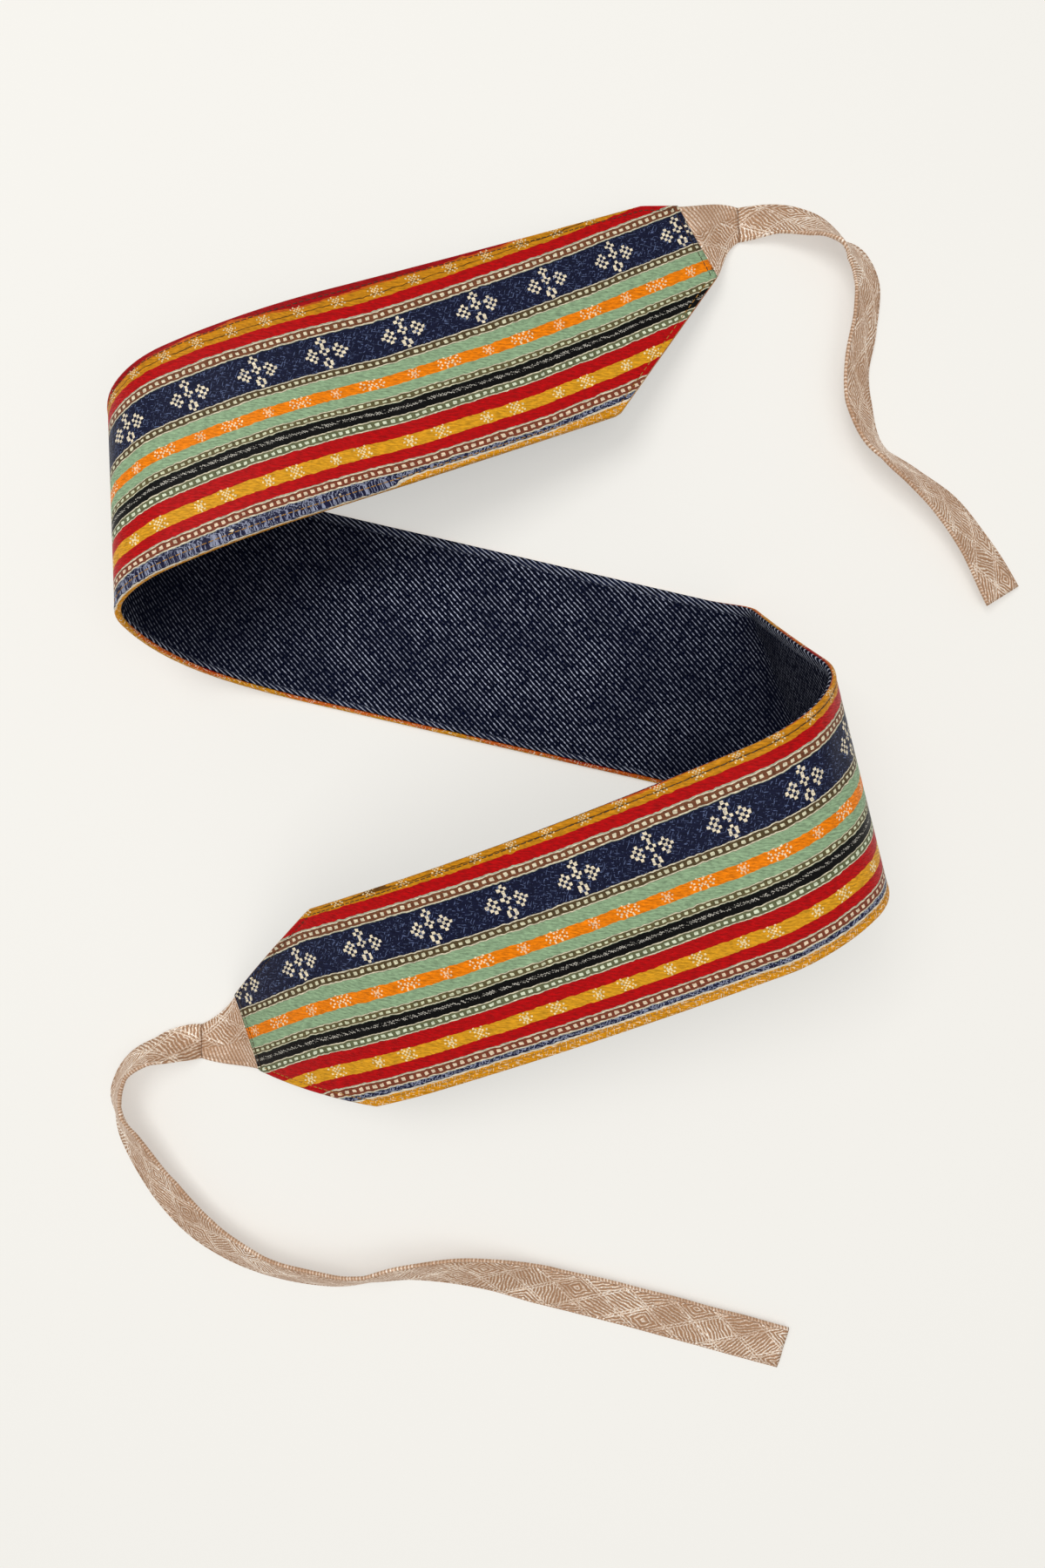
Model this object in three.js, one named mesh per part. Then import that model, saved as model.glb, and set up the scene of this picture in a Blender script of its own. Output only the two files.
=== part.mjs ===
import * as THREE from 'three';

// Obi belt laid on a table: its plain middle lies flat with the lining side up, and both ends are
// rolled over in an open loop, so that the patterned front shows on the upper and the lower stretch.
// Sizes are millimetres and angles are degrees. X runs to the right, Y away, Z up.

const BELT_WIDTH = 100;
const HALF_WIDTH = BELT_WIDTH / 2;
const CLOTH = 1.2; // wall of each panel
const SEAM = 0.3; // air left between two pieces of cloth
const FRONT_FACE = -(SEAM / 2 + CLOTH); // offsets from the belt's middle layer, lining side positive
const FRONT_BACK = -SEAM / 2;
const LINING_BACK = SEAM / 2;
const LINING_FACE = SEAM / 2 + CLOTH;
const ROLLED_EDGE = 2; // the front cloth turned up beside the lining, along the lower edge
const EDGE_ROUND = 0.5;

const HEADING = -13; // of the middle stretch on the table
const ROW_STEP = 15; // between cross rows where the belt runs straight
const ROW_TURN = 9; // between cross rows where it rolls over
const FRAME_STEP = 2;

// From the middle outwards: how long each stretch is along the belt, how far it rolls over, and how
// far the roll's axis leans from square by its end.
const RIGHT_START_SLANT = -17;
const RIGHT_ROLL = [
  { name: 'middle', length: 116, turn: 0, slant: -17 },
  { name: 'bend low', length: 59, turn: 82, slant: -39 },
  { name: 'side', length: 58, turn: -3, slant: -14 },
  { name: 'bend top', length: 38, turn: 62, slant: -2 },
  { name: 'bend over', length: 39, turn: 37, slant: -14 },
  { name: 'crest', length: 125, turn: 6, slant: -46 },
  { name: 'lower stretch', length: 159, turn: 26, slant: -17 },
];
const LEFT_START_SLANT = -28;
const LEFT_ROLL = [
  { name: 'middle', length: 117, turn: 0, slant: -36 },
  { name: 'bend low', length: 46, turn: 33, slant: -25 },
  { name: 'side', length: 40, turn: 40, slant: -13 },
  { name: 'bend top', length: 26, turn: 59, slant: -19 },
  { name: 'bend over', length: 29, turn: 35, slant: -21 },
  { name: 'crest', length: 74, turn: 14, slant: -27 },
  { name: 'upper stretch', length: 214, turn: -2, slant: -23 },
];

// Tip outlines in the flat: where each edge starts to taper, measured back from the blunt end, and
// where the blunt end lies across the belt. lean is how far its lower corner sits past the upper.
const RIGHT_TIP = { upperTaper: 81, lowerTaper: 73, upperCorner: 19, lowerCorner: -23, lean: 0 };
const LEFT_TIP = { upperTaper: 19, lowerTaper: 77, upperCorner: 45, lowerCorner: 2, lean: 4 };

// The tabs join the blunt ends to the ties; both are doubled cloth.
const TAB_THICKNESS = 2.2;
const TIE_THICKNESS = 2;
const TIE_START_WIDTH = 18;
const TIE_WIDTH = 23;
const TAB_STEPS = 6;
const TIE_STEP = 8;
const STRAP_EDGE = 0.7; // how far a strap's edge is rounded off

// Course of each tie's middle line over the table, with its width and its tilt about that line:
// 0 lies flat, a positive tilt lifts the edge on the left of the course.
const UPPER_TIE = [
  { x: 129, y: 223, width: TIE_START_WIDTH, tilt: 0 },
  { x: 149, y: 224, width: 20, tilt: -21 },
  { x: 167, y: 219, width: TIE_WIDTH, tilt: -36 },
  { x: 174, y: 215, width: TIE_WIDTH, tilt: -46 },
  { x: 181, y: 209, width: TIE_WIDTH, tilt: -58 },
  { x: 188, y: 203, width: TIE_WIDTH, tilt: -43 },
  { x: 194, y: 190, width: TIE_WIDTH, tilt: -38 },
  { x: 193, y: 169, width: TIE_WIDTH, tilt: -44 },
  { x: 189, y: 145, width: TIE_WIDTH, tilt: -42 },
  { x: 190, y: 127, width: TIE_WIDTH, tilt: -38 },
  { x: 196, y: 108, width: TIE_WIDTH, tilt: -48 },
  { x: 203, y: 99, width: TIE_WIDTH, tilt: -56 },
  { x: 218, y: 88, width: TIE_WIDTH, tilt: -46 },
  { x: 235, y: 74, width: TIE_WIDTH, tilt: -34 },
  { x: 251, y: 54, width: TIE_WIDTH, tilt: -26 },
  { x: 267, y: 27, width: TIE_WIDTH, tilt: -14 },
];
const LOWER_TIE = [
  { x: -154, y: -207, width: TIE_START_WIDTH, tilt: 0 },
  { x: -163, y: -207, width: 19, tilt: 35 },
  { x: -176, y: -210, width: 22, tilt: 66 },
  { x: -189, y: -218, width: TIE_WIDTH, tilt: 67 },
  { x: -195, y: -233, width: TIE_WIDTH, tilt: 58 },
  { x: -193, y: -243, width: TIE_WIDTH, tilt: 60 },
  { x: -189, y: -254, width: TIE_WIDTH, tilt: 46 },
  { x: -171, y: -283, width: TIE_WIDTH, tilt: 30 },
  { x: -151, y: -304, width: TIE_WIDTH, tilt: 31 },
  { x: -121, y: -321, width: TIE_WIDTH, tilt: 44 },
  { x: -84, y: -329, width: TIE_WIDTH, tilt: 52 },
  { x: -65, y: -328, width: TIE_WIDTH, tilt: 60 },
  { x: -45, y: -325, width: TIE_WIDTH, tilt: 50 },
  { x: -22, y: -325, width: TIE_WIDTH, tilt: 37 },
  { x: 1, y: -328, width: TIE_WIDTH, tilt: 24 },
  { x: 25, y: -334, width: TIE_WIDTH, tilt: 12 },
  { x: 65, y: -344, width: TIE_WIDTH, tilt: 8 },
  { x: 152, y: -368, width: TIE_WIDTH, tilt: 5 },
];

const rad = THREE.MathUtils.degToRad;
const mix = THREE.MathUtils.lerp;

// Follows the belt's middle line from the centre outwards. Each frame holds the distance along the
// belt, the line's point, its direction, the way across to the upper edge, and the roll's slant.
function rollFrames(rows, startSlant, way) {
  const point = new THREE.Vector3(0, 0, -FRONT_FACE);
  const along = new THREE.Vector3(Math.cos(rad(HEADING)), Math.sin(rad(HEADING)), 0);
  const across = new THREE.Vector3(-along.y, along.x, 0);
  let travelled = 0;
  let slant = startSlant;
  const frames = [];
  const keep = (lean) => frames.push({
    s: way * travelled,
    point: point.clone(),
    along: along.clone(),
    across: across.clone(),
    slant: rad(lean),
  });
  keep(startSlant);
  for (const row of rows) {
    const steps = Math.ceil(row.length / FRAME_STEP);
    const step = row.length / steps;
    for (let i = 0; i < steps; i += 1) {
      const lean = rad(mix(slant, row.slant, (i + 0.5) / steps));
      const axis = across.clone().multiplyScalar(Math.cos(lean)).addScaledVector(along, Math.sin(lean));
      const halfTurn = (-way * rad(row.turn)) / steps / Math.cos(lean) / 2;
      along.applyAxisAngle(axis, halfTurn);
      across.applyAxisAngle(axis, halfTurn);
      point.addScaledVector(along, way * step);
      along.applyAxisAngle(axis, halfTurn);
      across.applyAxisAngle(axis, halfTurn);
      travelled += step;
      keep(mix(slant, row.slant, (i + 1) / steps));
    }
    slant = row.slant;
  }
  return frames;
}

const RIGHT_FRAMES = rollFrames(RIGHT_ROLL, RIGHT_START_SLANT, 1);
const LEFT_FRAMES = rollFrames(LEFT_ROLL, LEFT_START_SLANT, -1);
const RIGHT_END = RIGHT_FRAMES[RIGHT_FRAMES.length - 1].s;
const LEFT_END = LEFT_FRAMES[LEFT_FRAMES.length - 1].s;

// The point of one straight line of the roll at t across the belt, and where that point is in the flat.
function rulingAt(frame, t) {
  const ruling = frame.across.clone().multiplyScalar(Math.cos(frame.slant));
  ruling.addScaledVector(frame.along, Math.sin(frame.slant));
  return {
    s: frame.s + t * Math.tan(frame.slant),
    point: frame.point.clone().addScaledVector(ruling, t / Math.cos(frame.slant)),
    out: frame.along.clone().cross(frame.across),
  };
}

// Where the flat cloth's point (s along, t across) lies once the belt is rolled, moved out by depth.
function rolled(s, t, depth) {
  const frames = s - t * Math.tan(rad(RIGHT_START_SLANT)) >= 0 ? RIGHT_FRAMES : LEFT_FRAMES;
  const way = frames === RIGHT_FRAMES ? 1 : -1;
  let low = 0;
  let high = frames.length - 1;
  while (high - low > 1) {
    const middle = Math.floor((low + high) / 2);
    if (way * (rulingAt(frames[middle], t).s - s) <= 0) low = middle;
    else high = middle;
  }
  const before = rulingAt(frames[low], t);
  const after = rulingAt(frames[high], t);
  const share = (s - before.s) / (after.s - before.s);
  const out = before.out.lerp(after.out, THREE.MathUtils.clamp(share, 0, 1)).normalize();
  return before.point.lerp(after.point, share).addScaledVector(out, depth);
}

// How far the cloth reaches across at s: the upper edge for side 1, the lower edge for side -1.
function reach(s, side) {
  const tip = s > 0 ? RIGHT_TIP : LEFT_TIP;
  const end = s > 0 ? RIGHT_END : -LEFT_END;
  const taper = side > 0 ? tip.upperTaper : tip.lowerTaper;
  const corner = side > 0 ? tip.upperCorner : tip.lowerCorner;
  const past = side > 0 ? 0 : tip.lean;
  const share = (Math.abs(s) - (end - taper)) / (taper + past);
  return mix(side * HALF_WIDTH, corner, THREE.MathUtils.clamp(share, 0, 1));
}

// Lean of the cross row through s: that of the roll's own lines, square in the flat middle, and that
// of the blunt end at the tip.
function rowLean(s) {
  const frames = s > 0 ? RIGHT_FRAMES : LEFT_FRAMES;
  const rows = s > 0 ? RIGHT_ROLL : LEFT_ROLL;
  const tip = s > 0 ? RIGHT_TIP : LEFT_TIP;
  const end = Math.abs(frames[frames.length - 1].s);
  const flat = Math.min(1, Math.abs(s) / rows[0].length);
  const near = THREE.MathUtils.clamp((end - Math.abs(s)) / 110, 0, 1);
  const own = frames.reduce((best, f) => (Math.abs(f.s - s) < Math.abs(best.s - s) ? f : best)).slant;
  const blunt = Math.atan2(tip.lean, BELT_WIDTH);
  return mix(blunt, own * flat, near);
}

// How far along the belt the cross row through station is at t across.
function alongRow(station, t) {
  return station + t * Math.tan(rowLean(station));
}

function stationThrough(s, t) {
  let low = s - HALF_WIDTH * 2;
  let high = s + HALF_WIDTH * 2;
  for (let i = 0; i < 40; i += 1) {
    const middle = (low + high) / 2;
    if (alongRow(middle, t) < s) low = middle;
    else high = middle;
  }
  return THREE.MathUtils.clamp((low + high) / 2, LEFT_END, RIGHT_END);
}

// The cross rows' stations, close together in the bends, with one through each corner of the outline
// and one along each blunt end.
function rowStations() {
  const stations = [0];
  for (const [rows, way] of [[RIGHT_ROLL, 1], [LEFT_ROLL, -1]]) {
    let travelled = 0;
    for (const row of rows) {
      const count = Math.ceil(Math.max(row.length / ROW_STEP, Math.abs(row.turn) / ROW_TURN));
      for (let i = 1; i <= count; i += 1) stations.push(way * (travelled + (row.length * i) / count));
      travelled += row.length;
    }
  }
  const corners = [
    stationThrough(RIGHT_END - RIGHT_TIP.upperTaper, HALF_WIDTH),
    stationThrough(RIGHT_END - RIGHT_TIP.lowerTaper, -HALF_WIDTH),
    stationThrough(LEFT_END + LEFT_TIP.upperTaper, HALF_WIDTH),
    stationThrough(LEFT_END + LEFT_TIP.lowerTaper, -HALF_WIDTH),
  ];
  const ends = [LEFT_END - LEFT_TIP.lean / 2, RIGHT_END + RIGHT_TIP.lean / 2];
  const clear = stations.filter((s) => [...corners, ...ends].every((kept) => Math.abs(kept - s) > 3));
  return [...clear, ...corners, ...ends].sort((a, b) => a - b);
}

// Closes a body from rings of equal size, each given as a list of points in order round the piece.
function bodyFromRings(rings, section) {
  const size = rings[0].length;
  const positions = rings.flat().flatMap((p) => [p.x, p.y, p.z]);
  const index = [];
  for (let i = 0; i + 1 < rings.length; i += 1) {
    for (let j = 0; j < size; j += 1) {
      const a = i * size + j;
      const b = i * size + ((j + 1) % size);
      index.push(a, b, b + size, a, b + size, a + size);
    }
  }
  const last = (rings.length - 1) * size;
  for (const [a, b, c] of THREE.ShapeUtils.triangulateShape(section, [])) {
    index.push(a, c, b, last + a, last + b, last + c);
  }
  const geometry = new THREE.BufferGeometry();
  geometry.setAttribute('position', new THREE.Float32BufferAttribute(positions, 3));
  geometry.setIndex(index);
  geometry.computeVertexNormals();
  return geometry;
}

// Panel cross-sections: from (which edge the offset is measured from: -1 lower, 1 upper, 0 a share of
// the width), across (the offset or share) and depth.
const FRONT_SECTION = [
  { from: -1, across: 0, depth: FRONT_FACE + EDGE_ROUND },
  { from: -1, across: EDGE_ROUND, depth: FRONT_FACE },
  { from: 0, across: 0.27, depth: FRONT_FACE },
  { from: 0, across: 0.5, depth: FRONT_FACE },
  { from: 0, across: 0.73, depth: FRONT_FACE },
  { from: 1, across: EDGE_ROUND, depth: FRONT_FACE },
  { from: 1, across: 0, depth: FRONT_FACE + EDGE_ROUND },
  { from: 1, across: 0, depth: FRONT_BACK },
  { from: 0, across: 0.73, depth: FRONT_BACK },
  { from: 0, across: 0.5, depth: FRONT_BACK },
  { from: 0, across: 0.27, depth: FRONT_BACK },
  { from: -1, across: ROLLED_EDGE, depth: FRONT_BACK },
  { from: -1, across: ROLLED_EDGE, depth: LINING_FACE },
  { from: -1, across: EDGE_ROUND, depth: LINING_FACE },
  { from: -1, across: 0, depth: LINING_FACE - EDGE_ROUND },
];
const LINING_EDGE = 0.2;
const LINING_SECTION = [
  { from: -1, across: ROLLED_EDGE + SEAM, depth: LINING_BACK },
  { from: 0, across: 0.27, depth: LINING_BACK },
  { from: 0, across: 0.5, depth: LINING_BACK },
  { from: 0, across: 0.73, depth: LINING_BACK },
  { from: 1, across: LINING_EDGE, depth: LINING_BACK },
  { from: 1, across: LINING_EDGE, depth: LINING_FACE - EDGE_ROUND },
  { from: 1, across: LINING_EDGE + EDGE_ROUND, depth: LINING_FACE },
  { from: 0, across: 0.73, depth: LINING_FACE },
  { from: 0, across: 0.5, depth: LINING_FACE },
  { from: 0, across: 0.27, depth: LINING_FACE },
  { from: -1, across: ROLLED_EDGE + SEAM, depth: LINING_FACE },
];

function acrossOf(column, s) {
  if (column.from === 0) return mix(reach(s, -1), reach(s, 1), column.across);
  return reach(s, column.from) - column.from * column.across;
}

function panel(section) {
  const rings = rowStations().map((station) => section.map((column) => {
    const full = column.from === 0
      ? mix(-HALF_WIDTH, HALF_WIDTH, column.across)
      : column.from * (HALF_WIDTH - column.across);
    const s = alongRow(station, full);
    return rolled(s, acrossOf(column, s), column.depth);
  }));
  const shape = section.map((column) => new THREE.Vector2(acrossOf(column, 0), column.depth));
  return bodyFromRings(rings, shape);
}

// Flat doubled cloth across its own course: half width and half thickness, rounded at the edges.
function strapRing({ centre, side, up, width, thickness }) {
  const half = width / 2;
  const h = thickness / 2;
  const shape = strapShape(half, h);
  return shape.map(({ x, y }) => centre.clone().addScaledVector(side, x).addScaledVector(up, y));
}

function strapShape(half, h) {
  const flank = half - STRAP_EDGE;
  return [
    new THREE.Vector2(half, 0),
    new THREE.Vector2(flank, h),
    new THREE.Vector2(0, h),
    new THREE.Vector2(-flank, h),
    new THREE.Vector2(-half, 0),
    new THREE.Vector2(-flank, -h),
    new THREE.Vector2(0, -h),
    new THREE.Vector2(flank, -h),
  ];
}

// The tie's cross places, evenly along a smooth course through its table. side points to the left of
// the course, and the lower edge touches the table.
function tiePlaces(rows) {
  const course = new THREE.CatmullRomCurve3(rows.map((r) => new THREE.Vector3(r.x, r.y, 0)));
  const count = Math.round(course.getLength() / TIE_STEP);
  return Array.from({ length: count + 1 }, (_, i) => {
    const share = course.getUtoTmapping(i / count);
    const centre = course.getPoint(share);
    const ahead = course.getTangent(share).normalize();
    const position = share * (rows.length - 1);
    const row = Math.min(Math.floor(position), rows.length - 2);
    const part = position - row;
    const width = mix(rows[row].width, rows[row + 1].width, part);
    const tilt = rad(mix(rows[row].tilt, rows[row + 1].tilt, part));
    const left = new THREE.Vector3(-ahead.y, ahead.x, 0);
    const side = left.clone().multiplyScalar(Math.cos(tilt));
    side.z = Math.sin(tilt);
    const up = ahead.clone().cross(side).normalize();
    const edge = (width / 2) * Math.abs(side.z);
    centre.z = edge + (TIE_THICKNESS / 2) * Math.abs(up.z);
    return { centre, ahead, side, up, width, thickness: TIE_THICKNESS };
  });
}

function tie(rows) {
  const rings = tiePlaces(rows).map(strapRing);
  return bodyFromRings(rings, strapShape(TIE_WIDTH / 2, TIE_THICKNESS / 2));
}

// A tab lies between the panels' blunt end and the tie's first cross place.
function tab(way, rows) {
  const tip = way > 0 ? RIGHT_TIP : LEFT_TIP;
  const end = way > 0 ? RIGHT_END : LEFT_END;
  const upper = rolled(end, tip.upperCorner, 0);
  const lower = rolled(end + way * tip.lean, tip.lowerCorner, 0);
  const inner = rolled(end + way * (tip.lean / 2 - 5), (tip.upperCorner + tip.lowerCorner) / 2, 0);
  const start = upper.clone().lerp(lower, 0.5);
  const out = start.clone().sub(inner).normalize();
  start.addScaledVector(out, SEAM);
  const first = tiePlaces(rows)[0];
  const join = first.centre.clone().addScaledVector(first.ahead, -SEAM);
  const startSide = lower.clone().sub(upper).multiplyScalar(way);
  const startWidth = startSide.length() - 0.6;
  startSide.normalize();
  const joinSide = first.side.clone();
  if (startSide.dot(joinSide) < 0) joinSide.negate();
  const reachOut = start.distanceTo(join);
  const course = new THREE.CubicBezierCurve3(
    start,
    start.clone().addScaledVector(out, reachOut / 3),
    join.clone().addScaledVector(first.ahead, -reachOut / 3),
    join,
  );
  const rings = [];
  for (let i = 0; i <= TAB_STEPS; i += 1) {
    const share = i / TAB_STEPS;
    const ahead = course.getTangent(share);
    const side = startSide.clone().lerp(joinSide, share).normalize();
    const up = ahead.clone().cross(side).normalize();
    const width = mix(startWidth, TIE_START_WIDTH, share);
    const thickness = mix(TAB_THICKNESS, TIE_THICKNESS, share);
    rings.push(strapRing({ centre: course.getPoint(share), side, up, width, thickness }));
  }
  return bodyFromRings(rings, strapShape(TIE_START_WIDTH / 2, TIE_THICKNESS / 2));
}

function finish(color, roughness) {
  return new THREE.MeshStandardMaterial({ color, roughness, metalness: 0 });
}

const PIECES = [
  { name: 'front_panel', geometry: panel(FRONT_SECTION), material: finish(0xb0282a, 0.6) },
  { name: 'lining_panel', geometry: panel(LINING_SECTION), material: finish(0x1b2540, 0.9) },
  { name: 'tab_upper', geometry: tab(-1, UPPER_TIE), material: finish(0xbf9f86, 0.5) },
  { name: 'tab_lower', geometry: tab(1, LOWER_TIE), material: finish(0xbf9f86, 0.5) },
  { name: 'tie_upper', geometry: tie(UPPER_TIE), material: finish(0xc8a890, 0.5) },
  { name: 'tie_lower', geometry: tie(LOWER_TIE), material: finish(0xc8a890, 0.5) },
];

// The finished belt stands on Z = 0 and is centred over the origin.
const group = new THREE.Group();
const bounds = new THREE.Box3();
for (const piece of PIECES) {
  piece.geometry.computeBoundingBox();
  bounds.union(piece.geometry.boundingBox);
}
const centre = bounds.getCenter(new THREE.Vector3());
for (const { name, geometry, material } of PIECES) {
  geometry.translate(-centre.x, -centre.y, -bounds.min.z);
  const mesh = new THREE.Mesh(geometry, material);
  mesh.name = name;
  group.add(mesh);
}

export default group;
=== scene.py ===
"""Looks of an obi belt laid in two open rolls: striped brocade, denim lining, rose-gold tabs and ties.

Tables and sizes are millimetres and degrees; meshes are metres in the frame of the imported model.
"""

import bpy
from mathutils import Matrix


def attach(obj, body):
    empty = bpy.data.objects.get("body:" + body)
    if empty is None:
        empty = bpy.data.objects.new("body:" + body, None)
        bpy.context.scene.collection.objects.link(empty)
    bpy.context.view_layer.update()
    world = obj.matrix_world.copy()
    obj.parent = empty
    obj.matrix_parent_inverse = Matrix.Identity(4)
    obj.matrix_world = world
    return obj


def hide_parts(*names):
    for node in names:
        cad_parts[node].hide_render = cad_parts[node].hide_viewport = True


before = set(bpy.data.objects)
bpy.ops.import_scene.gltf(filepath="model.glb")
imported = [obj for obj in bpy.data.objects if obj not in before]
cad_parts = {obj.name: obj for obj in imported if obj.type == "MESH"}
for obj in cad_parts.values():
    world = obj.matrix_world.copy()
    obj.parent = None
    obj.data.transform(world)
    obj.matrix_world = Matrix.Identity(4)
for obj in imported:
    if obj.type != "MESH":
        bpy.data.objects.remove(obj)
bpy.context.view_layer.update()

import logging
import math
from collections.abc import Callable
from dataclasses import dataclass
from enum import Enum
from functools import partial

import bpy
import numpy as np

log = logging.getLogger("obi_belt")

MM = 0.001
CENTRE = np.array([37.518, -72.730, 0.0])  # of the laid belt, seen from the middle of its flat stretch
BODY = "root"

BELT_WIDTH = 100.0
HALF_WIDTH = BELT_WIDTH / 2
FRONT_FACE = -1.35  # depths from the belt's middle layer, lining side positive
FRONT_BACK = -0.15
LINING_BACK = 0.15
LINING_FACE = 1.35
ROLLED_EDGE = 2.0
SEAM = 0.3
HEADING = -13.0  # of the middle stretch over the table, in degrees
HEM_ZONE = 6.0
HEM_OFFSETS = (0.5, 1.0, 1.7, 2.4, 3.0, 3.5, 4.0, 4.6, 5.2, HEM_ZONE)
HEM_DIP = 1.4  # how deep the stitching pulls in, in swells of the hem
RIM = 0.3  # the outermost columns, woven gold along the tapered edges too
FACE_COLUMNS = 32
BACK_COLUMNS = 5
BLUNT_LENGTH = 110.0  # over which the cross rows turn to the blunt end's own slant


class Side(Enum):
    """The edge of the belt that an offset is measured from."""

    LOWER = -1
    SHARE = 0
    UPPER = 1


@dataclass(frozen=True)
class Stretch:
    """One stretch of a roll: its length, how far it turns over, and its slant at the far end."""

    name: str
    length: float
    turn: float
    slant: float


@dataclass(frozen=True)
class Tip:
    """Outline of one pointed end in the flat."""

    upper_taper: float
    lower_taper: float
    upper_corner: float
    lower_corner: float
    lean: float


@dataclass(frozen=True)
class Crease:
    """A soft trough or ridge in the belt, at (along, across) in the flat."""

    along: float
    across: float
    lean: float
    length: float
    width: float
    height: float


RIGHT_STRETCHES = (
    Stretch("middle", 116, 0, -17),
    Stretch("bend low", 59, 82, -39),
    Stretch("side", 58, -3, -14),
    Stretch("bend top", 38, 62, -2),
    Stretch("bend over", 39, 37, -14),
    Stretch("crest", 125, 6, -46),
    Stretch("lower stretch", 159, 26, -17),
)
LEFT_STRETCHES = (
    Stretch("middle", 117, 0, -36),
    Stretch("bend low", 46, 33, -25),
    Stretch("side", 40, 40, -13),
    Stretch("bend top", 26, 59, -19),
    Stretch("bend over", 29, 35, -21),
    Stretch("crest", 74, 14, -27),
    Stretch("upper stretch", 214, -2, -23),
)
RIGHT_TIP = Tip(81, 73, 19, -23, 0)
LEFT_TIP = Tip(19, 77, 45, 2, 4)

# The flat middle lies on the table, so its creases only rise.
CREASES = (
    Crease(-62, 14, 68, 70, 13, 0.5),
    Crease(38, -18, 104, 64, 16, 0.6),
    Crease(84, 20, 62, 52, 12, 0.4),
    Crease(196, -8, 98, 70, 15, -0.7),
    Crease(262, 22, 112, 46, 11, 0.6),
    Crease(318, -16, 80, 74, 18, -0.8),
    Crease(372, 12, 103, 60, 13, 0.7),
    Crease(446, -10, 76, 66, 17, -0.6),
    Crease(512, 8, 96, 44, 12, 0.5),
    Crease(-178, 10, 84, 66, 13, -0.6),
    Crease(-236, -14, 106, 58, 15, 0.7),
    Crease(-301, 16, 72, 62, 12, -0.7),
    Crease(-362, -12, 99, 70, 18, 0.8),
    Crease(-431, 14, 82, 52, 13, -0.6),
    Crease(-489, 4, 101, 44, 14, 0.5),
)


def turned(vector: np.ndarray, axis: np.ndarray, angle: float) -> np.ndarray:
    """Turns a vector about an axis.

    Args:
        vector: What is turned.
        axis: Unit axis.
        angle: Radians.

    Returns:
        The turned vector.
    """
    side = np.cross(axis, vector)
    return vector * math.cos(angle) + side * math.sin(angle) + axis * axis.dot(vector) * (1 - math.cos(angle))


class Roll:
    """One half of the belt, followed from the flat middle outwards in short straight steps."""

    STEP = 2.0

    def __init__(self, way: int, start_slant: float, stretches: tuple[Stretch, ...], tip: Tip) -> None:
        """Keeps the half's sizes and follows its middle line.

        Args:
            way: 1 for the right half, -1 for the left.
            start_slant: Slant of the roll's lines at the middle.
            stretches: The half's stretches, from the middle outwards.
            tip: Outline of its pointed end.
        """
        self.way = way
        self.tip = tip
        self.stretches = stretches
        self.end = sum(stretch.length for stretch in stretches)
        heading = math.radians(HEADING)
        point = np.array([0.0, 0.0, LINING_FACE])
        along = np.array([math.cos(heading), math.sin(heading), 0.0])
        across = np.array([-along[1], along[0], 0.0])
        travelled = 0.0
        slant = start_slant
        rows = [(0.0, point, along, across, math.radians(slant))]
        for stretch in stretches:
            steps = math.ceil(stretch.length / self.STEP)
            step = stretch.length / steps
            for i in range(steps):
                lean = math.radians(slant + (stretch.slant - slant) * (i + 0.5) / steps)
                axis = across * math.cos(lean) + along * math.sin(lean)
                half_turn = -way * math.radians(stretch.turn) / steps / math.cos(lean) / 2
                along, across = turned(along, axis, half_turn), turned(across, axis, half_turn)
                point = point + along * way * step
                along, across = turned(along, axis, half_turn), turned(across, axis, half_turn)
                travelled += step
                at_end = math.radians(slant + (stretch.slant - slant) * (i + 1) / steps)
                rows.append((way * travelled, point, along, across, at_end))
            slant = stretch.slant
        self.along_at = np.array([row[0] for row in rows])
        self.points = np.array([row[1] for row in rows])
        self.slants = np.array([row[4] for row in rows])
        lines = [row[3] * math.cos(row[4]) + row[2] * math.sin(row[4]) for row in rows]
        self.lines = np.array(lines) / np.cos(self.slants)[:, None]
        self.outs = np.array([np.cross(row[2], row[3]) for row in rows])

    def placed(self, along: np.ndarray, across: np.ndarray, depth: np.ndarray) -> np.ndarray:
        """Where points of the flat cloth lie once it is rolled.

        Args:
            along: Distances along the belt.
            across: Distances across it.
            depth: Distances out of its middle layer, lining side positive.

        Returns:
            One point a row, in millimetres.
        """
        lean = np.tan(self.slants)
        low = np.zeros(along.shape, int)
        high = np.full(along.shape, len(self.slants) - 1)
        while np.any(high - low > 1):
            middle = (low + high) // 2
            before = self.way * (self.along_at[middle] + across * lean[middle] - along) <= 0
            open_pair = high - low > 1
            low = np.where(open_pair & before, middle, low)
            high = np.where(open_pair & ~before, middle, high)
        first = self.along_at[low] + across * lean[low]
        last = self.along_at[high] + across * lean[high]
        share = ((along - first) / (last - first))[:, None]
        start = self.points[low] + self.lines[low] * across[:, None]
        finish = self.points[high] + self.lines[high] * across[:, None]
        held = np.clip(share, 0, 1)
        out = self.outs[low] * (1 - held) + self.outs[high] * held
        out /= np.linalg.norm(out, axis=1)[:, None]
        return start * (1 - share) + finish * share + out * depth[:, None]


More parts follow.
